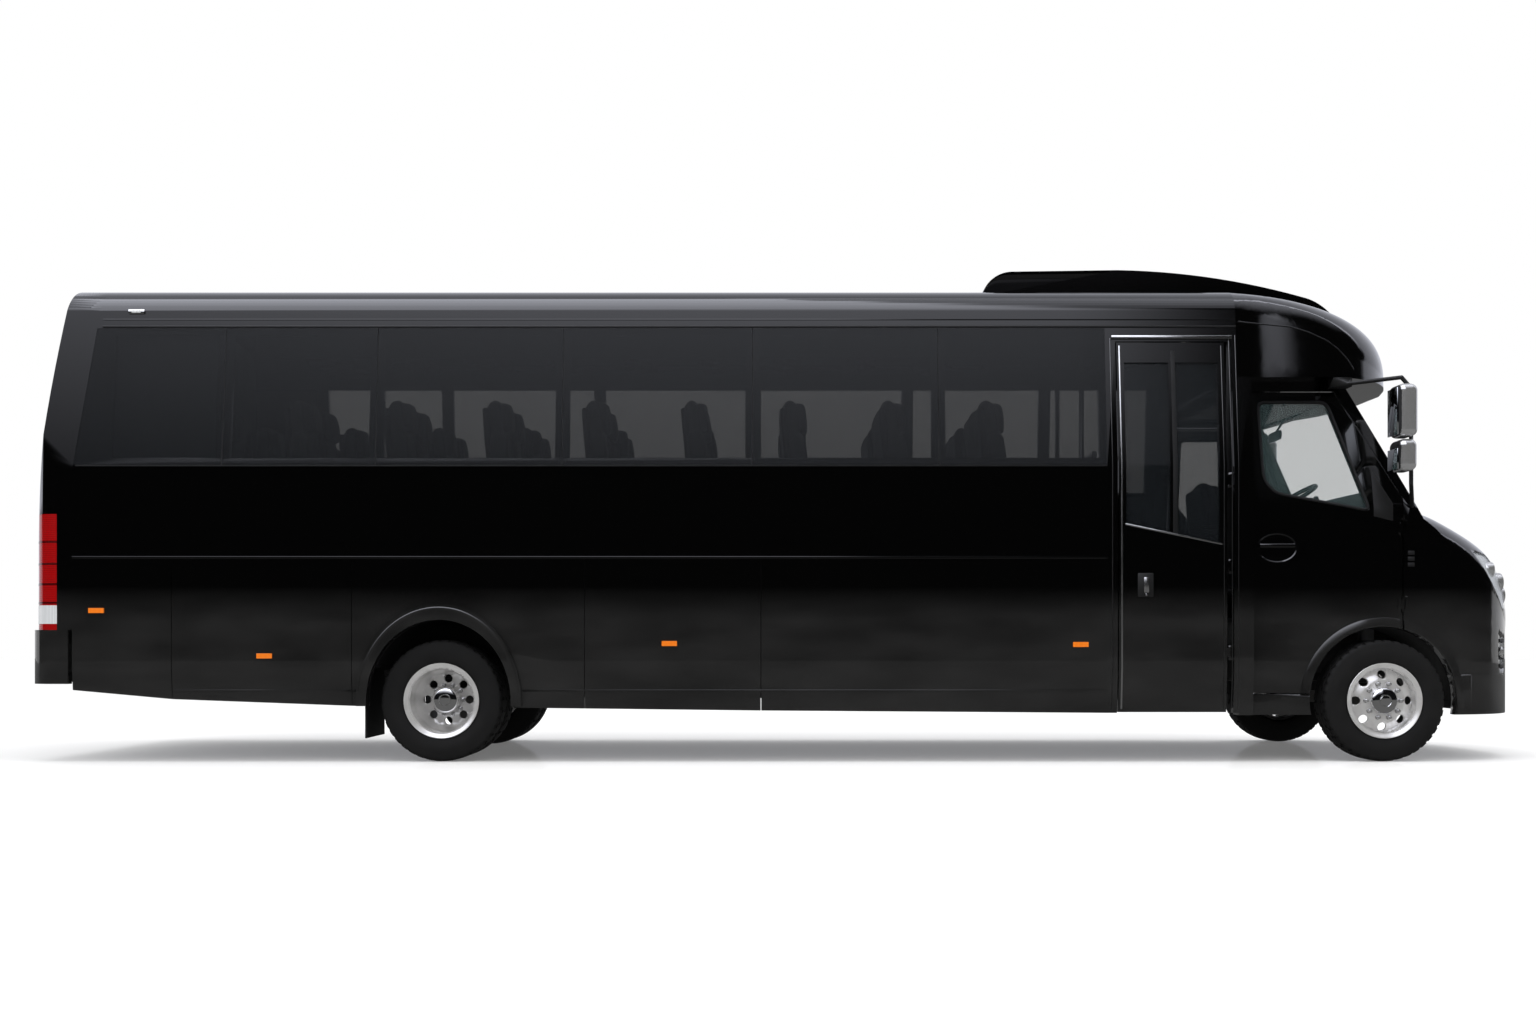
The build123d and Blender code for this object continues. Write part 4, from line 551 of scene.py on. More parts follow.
# The roof unit's front runs down onto the dome
UNIT_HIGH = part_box("roof_air_unit")[1]
FAIRING_LENGTH = 0.26
FAIRING_DROP = 0.1
FAIRING_SINK = 0.02
ABOVE_Z = 5.0
fairing = block(11)
for corner in fairing.data.vertices:
    u, v, w = corner.co
    share = (u + 1) / 2
    x = UNIT_HIGH.x - 0.004 + FAIRING_LENGTH * share
    y = UNIT_HIGH.y * v
    start = hit(skins["roof_air_unit"], (UNIT_HIGH.x - 0.005, 0.98 * y, ABOVE_Z), (0, 0, -1)).z
    spot = hit(dome, (x, y, ABOVE_Z), (0, 0, -1))
    floor = spot.z - 0.03 if spot else start - 0.2
    top = max(floor, start - FAIRING_DROP * (0.6 * share + 0.4 * share**2) * (1 + share))
    corner.co = (x, y, floor - FAIRING_SINK + (top - floor + FAIRING_SINK) * (w + 1) / 2)
settle(eased(fairing, 0.012, 3), "roof_unit_fairing", *PAINT)

# A bead along the edge of the dome's side panel, in side view as (x, z)
DOME_EDGE = (
    (2.869, 2.829), (3.04, 2.815), (3.203, 2.797), (3.32, 2.76), (3.434, 2.707), (3.51, 2.654),
    (3.575, 2.591), (3.64, 2.508),
)
for hand, side in SIDES:
    path = []
    for first, second in zip(DOME_EDGE, DOME_EDGE[1:]):
        for step in range(4):
            x, z = (a + (b - a) * step / 4 for a, b in zip(first, second))
            spot = hit(dome, (x, side * 3.0, z), (0, -side, 0))
            if spot:
                path.append(spot)
    settle(tube(path, 0.005), f"dome_bead_{hand}", *PAINT)

# Moving bodies, each dressed on its own body
dressed("entry_door", *PAINT, body="entry_door")
dressed("entry_glass", "tinted_glass", door_tint, body="entry_door")
for node in ("bonnet", "boot_lid"):
    dressed(node, *PAINT, body=node)
for hand, side in SIDES:
    body = f"cab_door_{hand}"
    dressed(body, *PAINT, body=body)
    dressed(f"cab_glass_{hand}", "clear_glass", cab_tint, body=body)
    body = f"knuckle_{hand}"
    dressed(body, "cast_metal", cast_iron, body=body)

# Running gear, floors and fittings, dressed without changes of form: record slot, finish, nodes
PLAIN = (
    ("frame_black", chassis_black, "frame_rails cross_members floor_bearers leaf_springs fuel_tank"),
    ("cast_metal", cast_iron, "front_axle rear_axle engine_block drive_line"),
    ("exhaust_steel", dull_steel, "exhaust"),
    (*RUBBER, "mud_flaps"),
    ("floor_vinyl", floor_vinyl, "saloon_floor entry_steps cab_floor"),
    ("trim_black", trim_liner, "luggage_bulkhead"),
    (*TRIM, "arch_liners grille dashboard"),
    (*STEEL, "grab_rails"),
)
for slot, finish, group in PLAIN:
    for node in group.split():
        dressed(node, slot, finish)
dressed("steering_wheel", *TRIM, angle=50.0, body="steering_wheel")


# Body measures, in metres, read from the frame

WALL_LOW, WALL_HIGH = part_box("right_wall")
PANE_LOW, PANE_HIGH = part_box("saloon_windows")
DOOR_LOW, DOOR_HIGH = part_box("entry_door")
HALF_WIDTH = -WALL_LOW.y
WAIST_Z = WALL_LOW.z
WINDOW_Z = PANE_LOW.z
GUTTER_Z = PANE_HIGH.z
TUCK_Z = 0.6
TUCK_SLOPE = 0.025 / 0.285
TUMBLE_SLOPE = 0.09 / 0.887
CAB_HALF = 1.09
CAB_LEAN_Z = 1.634
CAB_LEAN = 0.2
SEAM_X = WALL_LOW.x
FRAME_REAR_X = WALL_HIGH.x


def side_half(z):
    """Half width of the saloon at a height."""
    if z < TUCK_Z:
        return HALF_WIDTH - TUCK_SLOPE * (TUCK_Z - z)
    return HALF_WIDTH - TUMBLE_SLOPE * max(0.0, z - WINDOW_Z)


def cab_half(z):
    """Half width of the cab at a height."""
    return CAB_HALF - CAB_LEAN * max(0.0, z - CAB_LEAN_Z)


def cut(obj, place, normal, drop_front=False, drop_back=False):
    """Cuts a mesh with a plane and can drop the part before or behind it, closing the hole."""
    plane = {"plane_co": place, "plane_no": normal, "use_fill": drop_front or drop_back}
    edited(obj, (bpy.ops.mesh.bisect, {**plane, "clear_inner": drop_back, "clear_outer": drop_front}))


def leant(obj, half, side, bends=()):
    """Lays a piece drawn with y as its height off the skin onto one side, bending it at some heights."""
    for z in bends:
        cut(obj, (0, 0, z), (0, 0, 1))
    for corner in obj.data.vertices:
        corner.co.y = side * (half(corner.co.z) + corner.co.y)
    return edited(obj, FACE_OUTWARDS)


def side_strip(x, z, height, half, side, edge=0.002, sink=0.004):
    """A flat strip on one side, over a span of x and of z, standing off the skin."""
    piece = bar((x[0], -sink, z[0]), (x[1], height, z[1]), edge)
    bends = [level for level in (TUCK_Z, WINDOW_Z) if z[0] < level < z[1]]
    return leant(piece, half, side, bends)


# Long trims on both sides: name, x span, z span, height off the skin, slot, finish
ROOF_SIDE_X = (-4.43, 2.85)
SILL_BREAK = 0.53
LONG_TRIMS = (
    ("waist_bead", (SEAM_X, FRAME_REAR_X), (WAIST_Z + 0.012, WAIST_Z + 0.028), 0.004, *PAINT),
    ("belt_seal", (SEAM_X + 0.02, FRAME_REAR_X), (WINDOW_Z - 0.012, WINDOW_Z - 0.002), 0.003, *RUBBER),
    ("drip_rail", ROOF_SIDE_X, (GUTTER_Z + 0.004, GUTTER_Z + 0.016), 0.008, *TRIM),
    ("eaves_bead", ROOF_SIDE_X, (GUTTER_Z + 0.052, GUTTER_Z + 0.060), 0.003, *PAINT),
    ("sill_bead", (-3.95, FRAME_REAR_X), (0.452, 0.464), 0.004, *PAINT),
)
for name, x, z, height, slot, finish in LONG_TRIMS:
    for hand, side in SIDES:
        piece = side_strip(x, z, height, side_half, side)
        if name == "sill_bead":
            for end in (-SILL_BREAK, SILL_BREAK):
                cut(piece, (REAR_AXLE_X + end, 0, 0), (1, 0, 0))
            edited(
                piece,
                (bpy.ops.mesh.delete, {"type": "FACE"}),
                SELECT_ALL,
                (bpy.ops.mesh.fill_holes, {"sides": 12}),
                faces=lambda face: abs(face.center.x - REAR_AXLE_X) < SILL_BREAK - 0.005,
            )
        settle(piece, f"{name}_{hand}", slot, finish)

# Seals where two panes meet, dark sheets as painted shade in the rearmost panes, rolled lips along the rear
# arch flares, and dark backing behind the gaps between the skirt panels
PANE_LINES = (-3.636, -2.658, -1.468, -0.255, 0.934)
PANE_Z = (WINDOW_Z, GUTTER_Z)
SHADE_SHEET_X = (SEAM_X + 0.03, PANE_LINES[0] - 0.02)
SHADE_SHEET_Z = (WINDOW_Z + 0.01, GUTTER_Z - 0.01)
FLARE_EDGE_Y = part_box("rear_arch_flares")[1].y - 0.014
FLARE_HALF = 0.507
FLARE_RISE = 0.592
SKIRT_GAPS = (-3.956, -2.815, -1.32, -0.19)
BACKING_Z = (0.44, WAIST_Z - 0.01)
for hand, side in SIDES:
    seals = [
        side_strip((x - 0.004, x + 0.004), PANE_Z, -0.001, side_half, side, 0.0, 0.006) for x in PANE_LINES
    ]
    settle(joined(seals), f"pane_seals_{hand}", *RUBBER)
    # A dark sheet inside each rearmost pane: painted shade standing in for the dark of the closed rear
    # compartment
    shade_sheet = side_strip(SHADE_SHEET_X, SHADE_SHEET_Z, -0.03, side_half, side, 0.003, 0.04)
    settle(shade_sheet, f"rear_pane_shade_{hand}", *TRIM)
    path = []
    for turn in range(6, 175, 4):
        x = REAR_AXLE_X + FLARE_HALF * cos(radians(turn))
        path.append((x, side * FLARE_EDGE_Y, AXLE_Z + FLARE_RISE * sin(radians(turn))))
    settle(tube(path, 0.017), f"flare_lip_{hand}", *PAINT)
    strips = [
        side_strip((x - 0.02, x + 0.02), BACKING_Z, -0.022, side_half, side, 0.0, 0.03) for x in SKIRT_GAPS
    ]
    settle(joined(strips), f"skirt_gap_backing_{hand}", *RUBBER)

# Entry door: bright edge strips, top rail, glass foot trim and latch
STRIP_FOOT_Z = 0.34
DOOR_STRIPS = (
    # name, x span, height off the skin, finish
    ("door_rear_strip", (DOOR_LOW.x + 0.012, DOOR_LOW.x + 0.024), 0.006, bright_steel),
    ("door_front_strip", (DOOR_HIGH.x - 0.05, DOOR_HIGH.x - 0.044), 0.003, shaded_steel),
)
for name, x, height, finish in DOOR_STRIPS:
    strip = side_strip(x, (STRIP_FOOT_Z, 2.67), height, side_half, -1)
    settle(strip, name, "rail_steel", finish, body="entry_door")
FRAME_STRIPS = (
    # x span, top, height off the skin
    ((FRAME_REAR_X + 0.03, FRAME_REAR_X + 0.036), 2.72, 0.003),
    ((2.8, 2.806), 2.74, 0.0008),
    ((2.841, 2.846), 2.74, 0.0008),
)
pieces = [side_strip(x, (STRIP_FOOT_Z, top), height, side_half, -1) for x, top, height in FRAME_STRIPS]
settle(joined(pieces), "frame_edge_strips", "rail_steel", shaded_steel)
top_rail = side_strip((FRAME_REAR_X + 0.04, 2.82), (2.715, 2.735), 0.016, side_half, -1)
settle(top_rail, "door_top_rail", *STEEL)
GLASS_FOOT_Z = 1.526
GLASS_FOOT_FALL = 0.146
foot_trim = bar((DOOR_LOW.x + 0.04, -0.004, -0.006), (DOOR_HIGH.x - 0.06, 0.005, 0.006), 0.002)
for corner in foot_trim.data.vertices:
    share = (corner.co.x - DOOR_LOW.x) / (DOOR_HIGH.x - DOOR_LOW.x)
    corner.co.z += GLASS_FOOT_Z - GLASS_FOOT_FALL * share
settle(leant(foot_trim, side_half, -1), "glass_foot_trim", *STEEL, body="entry_door")
divider = side_strip((2.425, 2.455), (1.46, 2.64), 0.004, side_half, -1, 0.003)
settle(divider, "door_divider", *RUBBER, body="entry_door")
jamb = bar((2.796, -1.06, 1.26), (2.85, -1.0, 2.7), 0.006)
settle(jamb, "door_jamb_post", *TRIM)
LATCH_X = (2.2, 2.3)
LATCH_Z = (1.055, 1.207)
latch = side_strip(LATCH_X, LATCH_Z, 0.005, side_half, -1, 0.004)
settle(latch, "door_latch_plate", *TRIM, body="entry_door")
lever = side_strip((2.235, 2.27), (1.08, 1.18), 0.017, side_half, -1, 0.006)
keyhole = drum((2.252, -side_half(1.065) - 0.008, 1.068), 0.008, 0.012, "Y", 20, 0.002)
settle(joined([lever, keyhole]), "door_latch_lever", *STEEL, body="entry_door")

# Chrome marker lamps high on the roof sides, near the rear
for hand, side in SIDES:
    base = bar((-4.268, -0.01, 2.878), (-4.162, 0.012, 2.908), 0.006)
    settle(leant(base, side_half, side), f"roof_lamp_base_{hand}", *CHROME)
    glass = bar((-4.245, 0.008, 2.883), (-4.185, 0.022, 2.903), 0.006)
    settle(leant(glass, side_half, side), f"roof_lamp_lens_{hand}", "clear_lens", white_lens)


# Cab fittings

def plate(outline, thick, edge=0.002):
    """A flat plate drawn in side view as (x, z), with y as its thickness."""
    piece = edited(
        profile([(x, 0.0, z) for x, z in outline]),
        (bpy.ops.mesh.edge_face_add, {}),
        (bpy.ops.mesh.extrude_region_move, {"TRANSFORM_OT_translate": {"value": (0, thick, 0)}}),
        SELECT_ALL,
        FACE_OUTWARDS,
    )
    return eased(piece, edge)


def rounded(outline, radius, steps=5):
    """A closed outline with its corners replaced by short curves."""
    points = []
    count = len(outline)
    for i, corner in enumerate(outline):
        here = Vector(corner)
        before = (Vector(outline[i - 1]) - here).normalized() * radius
        after = (Vector(outline[(i + 1) % count]) - here).normalized() * radius
        for step in range(steps + 1):
            share = step / steps
            points.append(here + before * (1 - share) ** 2 + after * share**2)
    return points


COWL = (4.177, 1.61)
NOSE_LENGTH = 0.223
NOSE_TAPER = 0.055


def nose_half(x):
    """Half width of the cab along its length: straight to the cowl, then narrowing."""
    return CAB_HALF - NOSE_TAPER * max(0.0, (x - COWL[0]) / NOSE_LENGTH) ** 1.5


DOOR_GAP_X = (3.902, 3.929)
DOOR_LIP_FOOT = 0.445
WING_LIP_FOOT = 0.34
ARCH_RADIUS = 0.475
LIP = ((0.0, -0.004), (0.001, 0.009), (0.008, 0.015), (0.045, 0.013), (0.06, 0.006), (0.062, -0.004))


def arch_lip(hand, side, on_door):
    """The rolled lip round a front arch, on the door or on the wing."""
    axle = pivots[f"front_spin_{hand}"]
    loop = [(axle.x + ARCH_RADIUS + out, off, axle.z) for out, off in LIP]
    piece = lathe(loop + loop[:1], (axle.x, 0, axle.z), 96)
    foot, end_x = (DOOR_LIP_FOOT, DOOR_GAP_X[0]) if on_door else (WING_LIP_FOOT, DOOR_GAP_X[1])
    cut(piece, (0, 0, foot), (0, 0, 1), drop_back=True)
    cut(piece, (end_x, 0, 0), (1, 0, 0), on_door, not on_door)
    for corner in piece.data.vertices:
        spoke = Vector((corner.co.x - axle.x, 0.0, corner.co.z - axle.z))
        probe = axle + spoke * (max(spoke.length, ARCH_RADIUS + 0.008) / spoke.length)
        spot = hit(skins["cab_shell"], (probe.x, side * 2.0, probe.z), (0, -side, 0))
        half = abs(spot.y) if spot and not on_door and abs(spot.y) > 0.9 else nose_half(corner.co.x)
        corner.co.y = side * (half + corner.co.y)
    return eased(edited(piece, FACE_OUTWARDS), 0.0, angle=40.0)


CAB_WINDOW = ((3.035, 2.33), (3.482, 2.33), (3.712, 1.612), (3.112, 1.725), (3.04, 1.815))
QUARTER_PATCH = ((3.735, 1.88), (3.86, 1.66), (3.86, 1.545), (3.735, 1.575))
HANDLE_MIDDLE = (3.115, 1.372)
HANDLE_SIZE = (0.128, 0.094)
VENT_X = (3.955, 3.998)
VENT_Z = (1.252, 1.29, 1.328)

for hand, side in SIDES:
    door = f"cab_door_{hand}"
    settle(arch_lip(hand, side, True), f"door_arch_lip_{hand}", *PAINT, body=door)
    settle(arch_lip(hand, side, False), f"wing_arch_lip_{hand}", *PAINT)

    ring = rounded(CAB_WINDOW, 0.05)
    seal = tube([(p.x, side * (cab_half(p.y) - 0.004), p.y) for p in ring + ring[:2]], 0.011, False)
    settle(seal, f"cab_window_seal_{hand}", *RUBBER, body=door)

    patch = leant(plate(QUARTER_PATCH, 0.005), cab_half, side, (CAB_LEAN_Z,))
    settle(patch, f"quarter_patch_{hand}", *TRIM, body=door)

    middle = (HANDLE_MIDDLE[0], 0, HANDLE_MIDDLE[1])
    bezel = drum(middle, 1.0, 0.014, "Y", 48, 0.0)
    only(bezel)
    bpy.ops.transform.resize(value=(HANDLE_SIZE[0], 1.0, HANDLE_SIZE[1]), center_override=middle)
    edited(
        applied(bezel),
        (bpy.ops.mesh.inset, {"thickness": 0.009}),
        (bpy.ops.transform.translate, {"value": (0, -0.005, 0)}),
        faces=lambda face: face.normal.y > 0.9,
    )
    settle(leant(eased(bezel, 0.002), cab_half, side), f"handle_cup_{hand}", *PAINT, body=door)
    grip = bar((HANDLE_MIDDLE[0] - 0.12, 0.0, 1.372), (HANDLE_MIDDLE[0] + 0.115, 0.024, 1.4), 0.009, 3)
    settle(leant(grip, cab_half, side), f"handle_grip_{hand}", *PAINT, body=door)

    vents = [side_strip(VENT_X, (z, z + 0.026), 0.006, cab_half, side, 0.003) for z in VENT_Z]
    settle(joined(vents), f"wing_vent_{hand}", *TRIM)

    near, far = sorted((side * 0.93, side * 1.066))
    heel = bar((4.3, near, 0.34), (4.38, far, 0.56), 0.012, 3)
    settle(heel, f"bumper_heel_{hand}", *PAINT)
    apron = bar((4.285, side * 0.64, 0.335), (4.3, side * 1.0, 0.66), 0.004)
    settle(apron, f"splash_apron_{hand}", *RUBBER)


def painted_faces(obj, finish, test):
    """Gives the faces that pass a test a second finish."""
    obj.data.materials.append(finish)
    index = len(obj.data.materials) - 1
    for face in obj.data.polygons:
        if test(face.center):
            face.material_index = index


# Mirrors: black arms, bright heads, dark glass towards the driver
MIRROR_HEADS = ((2.051, 2.379), (1.836, 2.034))
HEAD_Y = 1.222
HEAD_X = 3.762
MIRROR_Y = (1.245, 1.395)
MIRROR_Z = ((2.06, 2.355), (1.845, 1.975))
mirror_set = dressed("mirrors", "mirror_chrome", soft_black, angle=40.0)


def on_head(spot):
    return abs(spot.y) > HEAD_Y and spot.x > HEAD_X + 0.022 and any(a < spot.z < b for a, b in MIRROR_HEADS)


painted_faces(mirror_set, silver, on_head)
mirror_glass = grained(
    "mirror_glass", shade(0.8, (0.95, 0.98, 1.0)), 0.03, 30.0, 0.00001, metallic=1.0, worn=0.97
)
for hand, side in SIDES:
    near, far = sorted(side * y for y in MIRROR_Y)
    panes = [bar((HEAD_X - 0.001, near, low), (HEAD_X + 0.012, far, high), 0.003) for low, high in MIRROR_Z]
    settle(joined(panes), f"mirror_glass_{hand}", "mirror_chrome", mirror_glass)

# Wipers parked at the foot of the screen
SCREEN_RAKE = 0.56
SCREEN_BULGE = 0.147
WIPER_Z = 1.66


def screen_point(y, z, off):
    """A point off the windscreen, at a place across and up it."""
    x = COWL[0] - SCREEN_RAKE * (z - COWL[1]) - SCREEN_BULGE * (y / CAB_HALF) ** 2
    return (x + 0.87 * off, y, z + 0.49 * off)


for name, foot, tip in (("left", 0.62, 0.02), ("right", -0.1, -0.7)):
    bends = ((foot, WIPER_Z, 0.012), (foot, WIPER_Z + 0.012, 0.035), ((foot + tip) / 2, WIPER_Z + 0.06, 0.03))
    arm = tube([screen_point(*bend) for bend in bends], 0.007)
    shares = [step / 8 for step in range(9)]
    rests = [screen_point(foot + (tip - foot) * s, WIPER_Z + 0.03 + 0.05 * s, 0.014) for s in shares]
    blade = tube(rests, 0.008)
    cap = drum(screen_point(foot, WIPER_Z, 0.016), 0.016, 0.02, "X", 24, 0.003)
    settle(joined([arm, blade, cap]), f"wiper_{name}", *TRIM)

# A step along the bumper's top edge, and the core behind the grille
STEP_Z = 0.552
STEP_RADIUS = 0.009
BUMPER_X = 4.2
FINS = 31
FIN_PITCH = 0.03
path = []
for turn in range(-78, 79, 3):
    way = Vector((cos(radians(turn)), sin(radians(turn)), 0.0))
    spot = hit(skins["front_bumper"], Vector((BUMPER_X, 0.0, STEP_Z)) + 3.0 * way, -way)
    if spot:
        path.append(spot - STEP_RADIUS * way)
settle(tube(path, STEP_RADIUS), "bumper_step", *PAINT)
core = bar((4.645, -0.46, 0.62), (4.66, 0.46, 1.2), 0.004)
fins = bar((4.638, -0.452, 0.63), (4.668, -0.448, 1.19), 0.001)
modified(fins, "ARRAY", {
    "count": FINS, "use_relative_offset": False, "use_constant_offset": True,
    "constant_offset_displace": (0, FIN_PITCH, 0),
})
settle(joined([core, fins]), "radiator_core", "trim_black", seal_rubber)


# Lamps

def lamp_slice(node, z, out, name, slot, finish):
    """A band of a CAD lamp between two heights, lifted off it, as a lens of its own."""
    piece = cad_copy(node, name)
    cut(piece, (0, 0, z[0]), (0, 0, 1), drop_back=True)
    cut(piece, (0, 0, z[1]), (0, 0, 1), drop_front=True)
    eased(edited(piece, (bpy.ops.transform.shrink_fatten, {"value": out})), 0.0)
    return settle(piece, name, slot, finish)


REVERSE_Z = (0.885, 1.0)
TAIL_BARS_Z = (1.012, 1.13, 1.26, 1.4)
TAIL_BAR_HEIGHT = 0.012
FOG_SLATS_Z = (0.6, 0.655, 0.71, 0.765)
FOG_SLAT_HEIGHT = 0.022
dressed("tail_lamps", "red_lens", red_lens)
lamp_slice("tail_lamps", REVERSE_Z, 0.002, "reverse_lenses", "clear_lens", white_lens)
for row, z in enumerate(TAIL_BARS_Z):
    span = (z, z + TAIL_BAR_HEIGHT)
    lamp_slice("tail_lamps", span, 0.0015, f"tail_lens_bar_{row}", "red_lens", deep_red_lens)
dressed("side_markers", "amber_lens", amber_lens, 0.002)

LAMP_EYES = (
    # across, up, radius
    (0.9, 1.24, 0.052), (0.775, 1.16, 0.066), (0.64, 1.08, 0.06), (0.84, 0.7, 0.042),
)

# Headlamps and fog lamps: bright bowls behind clear lenses
bowl = grained("lamp_bowl", shade(0.62, (0.97, 1.0, 1.03)), 0.25, 90.0, 0.0008, metallic=0.3, worn=0.5)
dressed("front_lamps", "clear_lens", clear_lens)
bowls = edited(cad_copy("front_lamps", "lamp_bowls"), (bpy.ops.transform.shrink_fatten, {"value": -0.009}))
settle(eased(bowls, 0.0), "lamp_bowls", "clear_lens", bowl)
painted_faces(bowls, soft_black, lambda spot: spot.z < 0.85)


def on_bowl(y, z):
    """The place on the lamp bowls straight behind a point in front view."""
    return hit(bowls, (6.0, y, z), (-1, 0, 0)).x


for row, z in enumerate(FOG_SLATS_Z):
    lamp_slice("front_lamps", (z, z + FOG_SLAT_HEIGHT), 0.003, f"fog_slat_{row}", *TRIM)
for hand, side in SIDES:
    eyes = []
    glints = []
    for y, z, radius in LAMP_EYES:
        x = on_bowl(side * y, z)
        ring = drum((x - 0.026, side * y, z), radius, 0.06, "X", 48, 0.006)
        edited(
            ring,
            (bpy.ops.mesh.inset, {"thickness": 0.008}),
            (bpy.ops.transform.translate, {"value": (-0.012, 0, 0)}),
            faces=lambda face: face.normal.x > 0.95,
        )
        eyes.append(eased(ring, 0.0))
        half = radius * 0.72
        low, high = (x - 0.03, side * y - half, z - half), (x + 0.002, side * y + half, z + half)
        glints.append(cushion(low, high, 1.0))
    settle(joined(eyes), f"headlamp_eyes_{hand}", "mirror_chrome", silver)
    settle(joined(glints), f"headlamp_glints_{hand}", *CHROME)


# Wheels: nuts, hub caps and valves on the CAD discs

FRONT_NUTS = 0.1125
REAR_NUTS = 0.099
NUTS = 10
NUT_PARTS = (
    # middle out from the disc, radius, length, sides, eased edge: hexagon, crown, collar
    (0.012, 0.0135, 0.03, 6, 0.002), (0.029, 0.0105, 0.014, 20, 0.004), (0.001, 0.0155, 0.006, 28, 0.001),
)
HUB_CAP = (
    # radius, distance out from the cap's foot
    (0.0825, 0.0), (0.0845, 0.001), (0.0845, 0.008), (0.0842, 0.011), (0.0845, 0.028), (0.079, 0.035),
    (0.066, 0.04), (0.04, 0.0425), (0.038, 0.0405), (0.034, 0.0405), (0.032, 0.043), (0.0, 0.044),
)


def wheel_fittings(body, side, x, circle, face_y, cap_y, name):
    """Ten capped nuts, a turned hub cap and a valve on a wheel's outer face."""
    centre = (x, 0, AXLE_Z)
    parts = [
        drum((x + circle, side * (face_y + out), AXLE_Z), radius, length, "Y", sides, edge)
        for out, radius, length, sides, edge in NUT_PARTS
    ]
    nuts = turned_copies(joined(parts), centre, NUTS)
    settle(eased(nuts, 0.0), f"{name}_nuts", "mirror_chrome", silver, body=body)
    cap = lathe([(x + radius, side * (cap_y + out), AXLE_Z) for radius, out in HUB_CAP], centre, 56)
    settle(eased(cap, 0.0, angle=40.0), f"{name}_hub_cap", *CHROME, body=body)
    ends = ((face_y - 0.01, 0.165), (face_y + 0.03, 0.15))
    stem = tube([(x - 0.02, side * y, AXLE_Z + up) for y, up in ends], 0.004)
    settle(stem, f"{name}_valve", "polished_rim", bright_steel, body=body)


TREAD = (
    # radius, distance from the tyre's middle plane
    (0.232, 0.08), (0.24, 0.094), (0.246, 0.1), (0.262, 0.1045), (0.285, 0.1105), (0.31, 0.1125),
    (0.33, 0.111), (0.348, 0.108), (0.362, 0.1065), (0.376, 0.103), (0.386, 0.094), (0.3885, 0.086),
    (0.3895, 0.068), (0.381, 0.067), (0.381, 0.06), (0.3903, 0.059), (0.3908, 0.026), (0.381, 0.025),
    (0.381, 0.018), (0.391, 0.017),
)
TYRE_STEPS = 120
GROOVE_DEPTH = 0.006
CUT_BANDS = (
    # distances from the middle plane, least radius, steps from cut to cut: shoulders, then ribs
    (0.07, 0.099, 0.375, 3), (0.028, 0.058, 0.385, 4),
)


def tyre(centre):
    """A road tyre: bulged walls, four grooves round, and cross cuts in its shoulder blocks."""
    half = [(centre.x + radius, centre.y + out, centre.z) for radius, out in TREAD]
    other = [(x, 2 * centre.y - y, z) for x, y, z in reversed(half)]
    piece = lathe(half + other, centre, TYRE_STEPS)

    def groove(face):
        spoke = face.center - centre
        radius = sqrt(spoke.x**2 + spoke.z**2)
        step = round((TYRE_STEPS / (2 * pi)) * (pi + atan2(spoke.z, spoke.x)) - 0.5)
        return any(
            near < abs(spoke.y) < far and radius > least and step % pitch == 0
            for near, far, least, pitch in CUT_BANDS
        )

    sink = {"TRANSFORM_OT_shrink_fatten": {"value": -GROOVE_DEPTH}}
    edited(piece, (bpy.ops.mesh.extrude_region_shrink_fatten, sink), faces=groove)
    return eased(piece, 0.0, angle=35.0)


FLANGE = (
    # radius, distance out from the tyre's middle plane
    (0.214, 0.086), (0.223, 0.0895), (0.235, 0.094), (0.2405, 0.1), (0.2425, 0.106), (0.24, 0.109),
    (0.234, 0.1075), (0.226, 0.099), (0.214, 0.094),
)


def rim_flange(centre, side):
    """The rolled lip of a rim over the tyre's bead, on the side that shows."""
    loop = [(centre.x + radius, centre.y + side * out, centre.z) for radius, out in FLANGE]
    return eased(lathe(loop + loop[:1], centre, 72), 0.0, angle=50.0)


# Distances from a tyre's middle plane: disc faces and feet of the hub caps
FRONT_FACE = 0.076
FRONT_CAP = 0.074
REAR_FACE = 0.117
REAR_CAP = 0.042
TWIN_SPACING = 0.262
for hand, side in SIDES:
    hub = pivots[f"front_spin_{hand}"]
    plane = abs(hub.y)
    front, rear = f"front_wheel_{hand}", f"rear_wheels_{hand}"
    settle(tyre(hub), f"front_tread_{hand}", *TREAD_RUBBER, f"front_tyre_{hand}", body=front)
    rim = dressed(front, "polished_rim", front_rim, angle=35.0, body=front)
    # The rim's inner side takes the dark chassis finish: painted shade for the barrel under the coach
    painted_faces(rim, chassis_black, lambda spot: abs(spot.y) < plane + 0.018)
    places = (plane + FRONT_FACE, plane + FRONT_CAP)
    wheel_fittings(front, side, hub.x, FRONT_NUTS, *places, f"front_{hand}")
    settle(rim_flange(hub, side), f"front_flange_{hand}", "polished_rim", front_rim, body=front)
    outer = Vector((REAR_AXLE_X, side * plane, hub.z))
    inner = Vector((REAR_AXLE_X, side * (plane - TWIN_SPACING), hub.z))
    twins = joined([tyre(outer), tyre(inner)])
    settle(twins, f"rear_treads_{hand}", *TREAD_RUBBER, f"rear_tyres_{hand}", body=rear)
    dressed(rear, "polished_rim", rear_rim, angle=35.0, body=rear)
    settle(rim_flange(outer, side), f"rear_flange_{hand}", "polished_rim", rear_rim, body=rear)
    places = (plane - REAR_FACE, plane - REAR_CAP)
    wheel_fittings(rear, side, REAR_AXLE_X, REAR_NUTS, *places, f"rear_{hand}")


# Seats: padded backs and cushions on bent frames, in place of the plain CAD outlines
BACK_LEAN = 0.0974
SEAT_PITCH = 0.643
SEAT_ROWS = 9
LAST_BENCH_X = -3.928
SALOON_FLOOR_Z = 1.2
BENCH_PLACES = ((0.212, 0.632), (0.638, 1.058))
CAB_SEAT_X = 3.0
CAB_FLOOR_Z = 0.93
CAB_PLACES = ((0.182, 0.678),)
CAB_SEAT_SCALE = 0.88
BOLSTER = 0.07
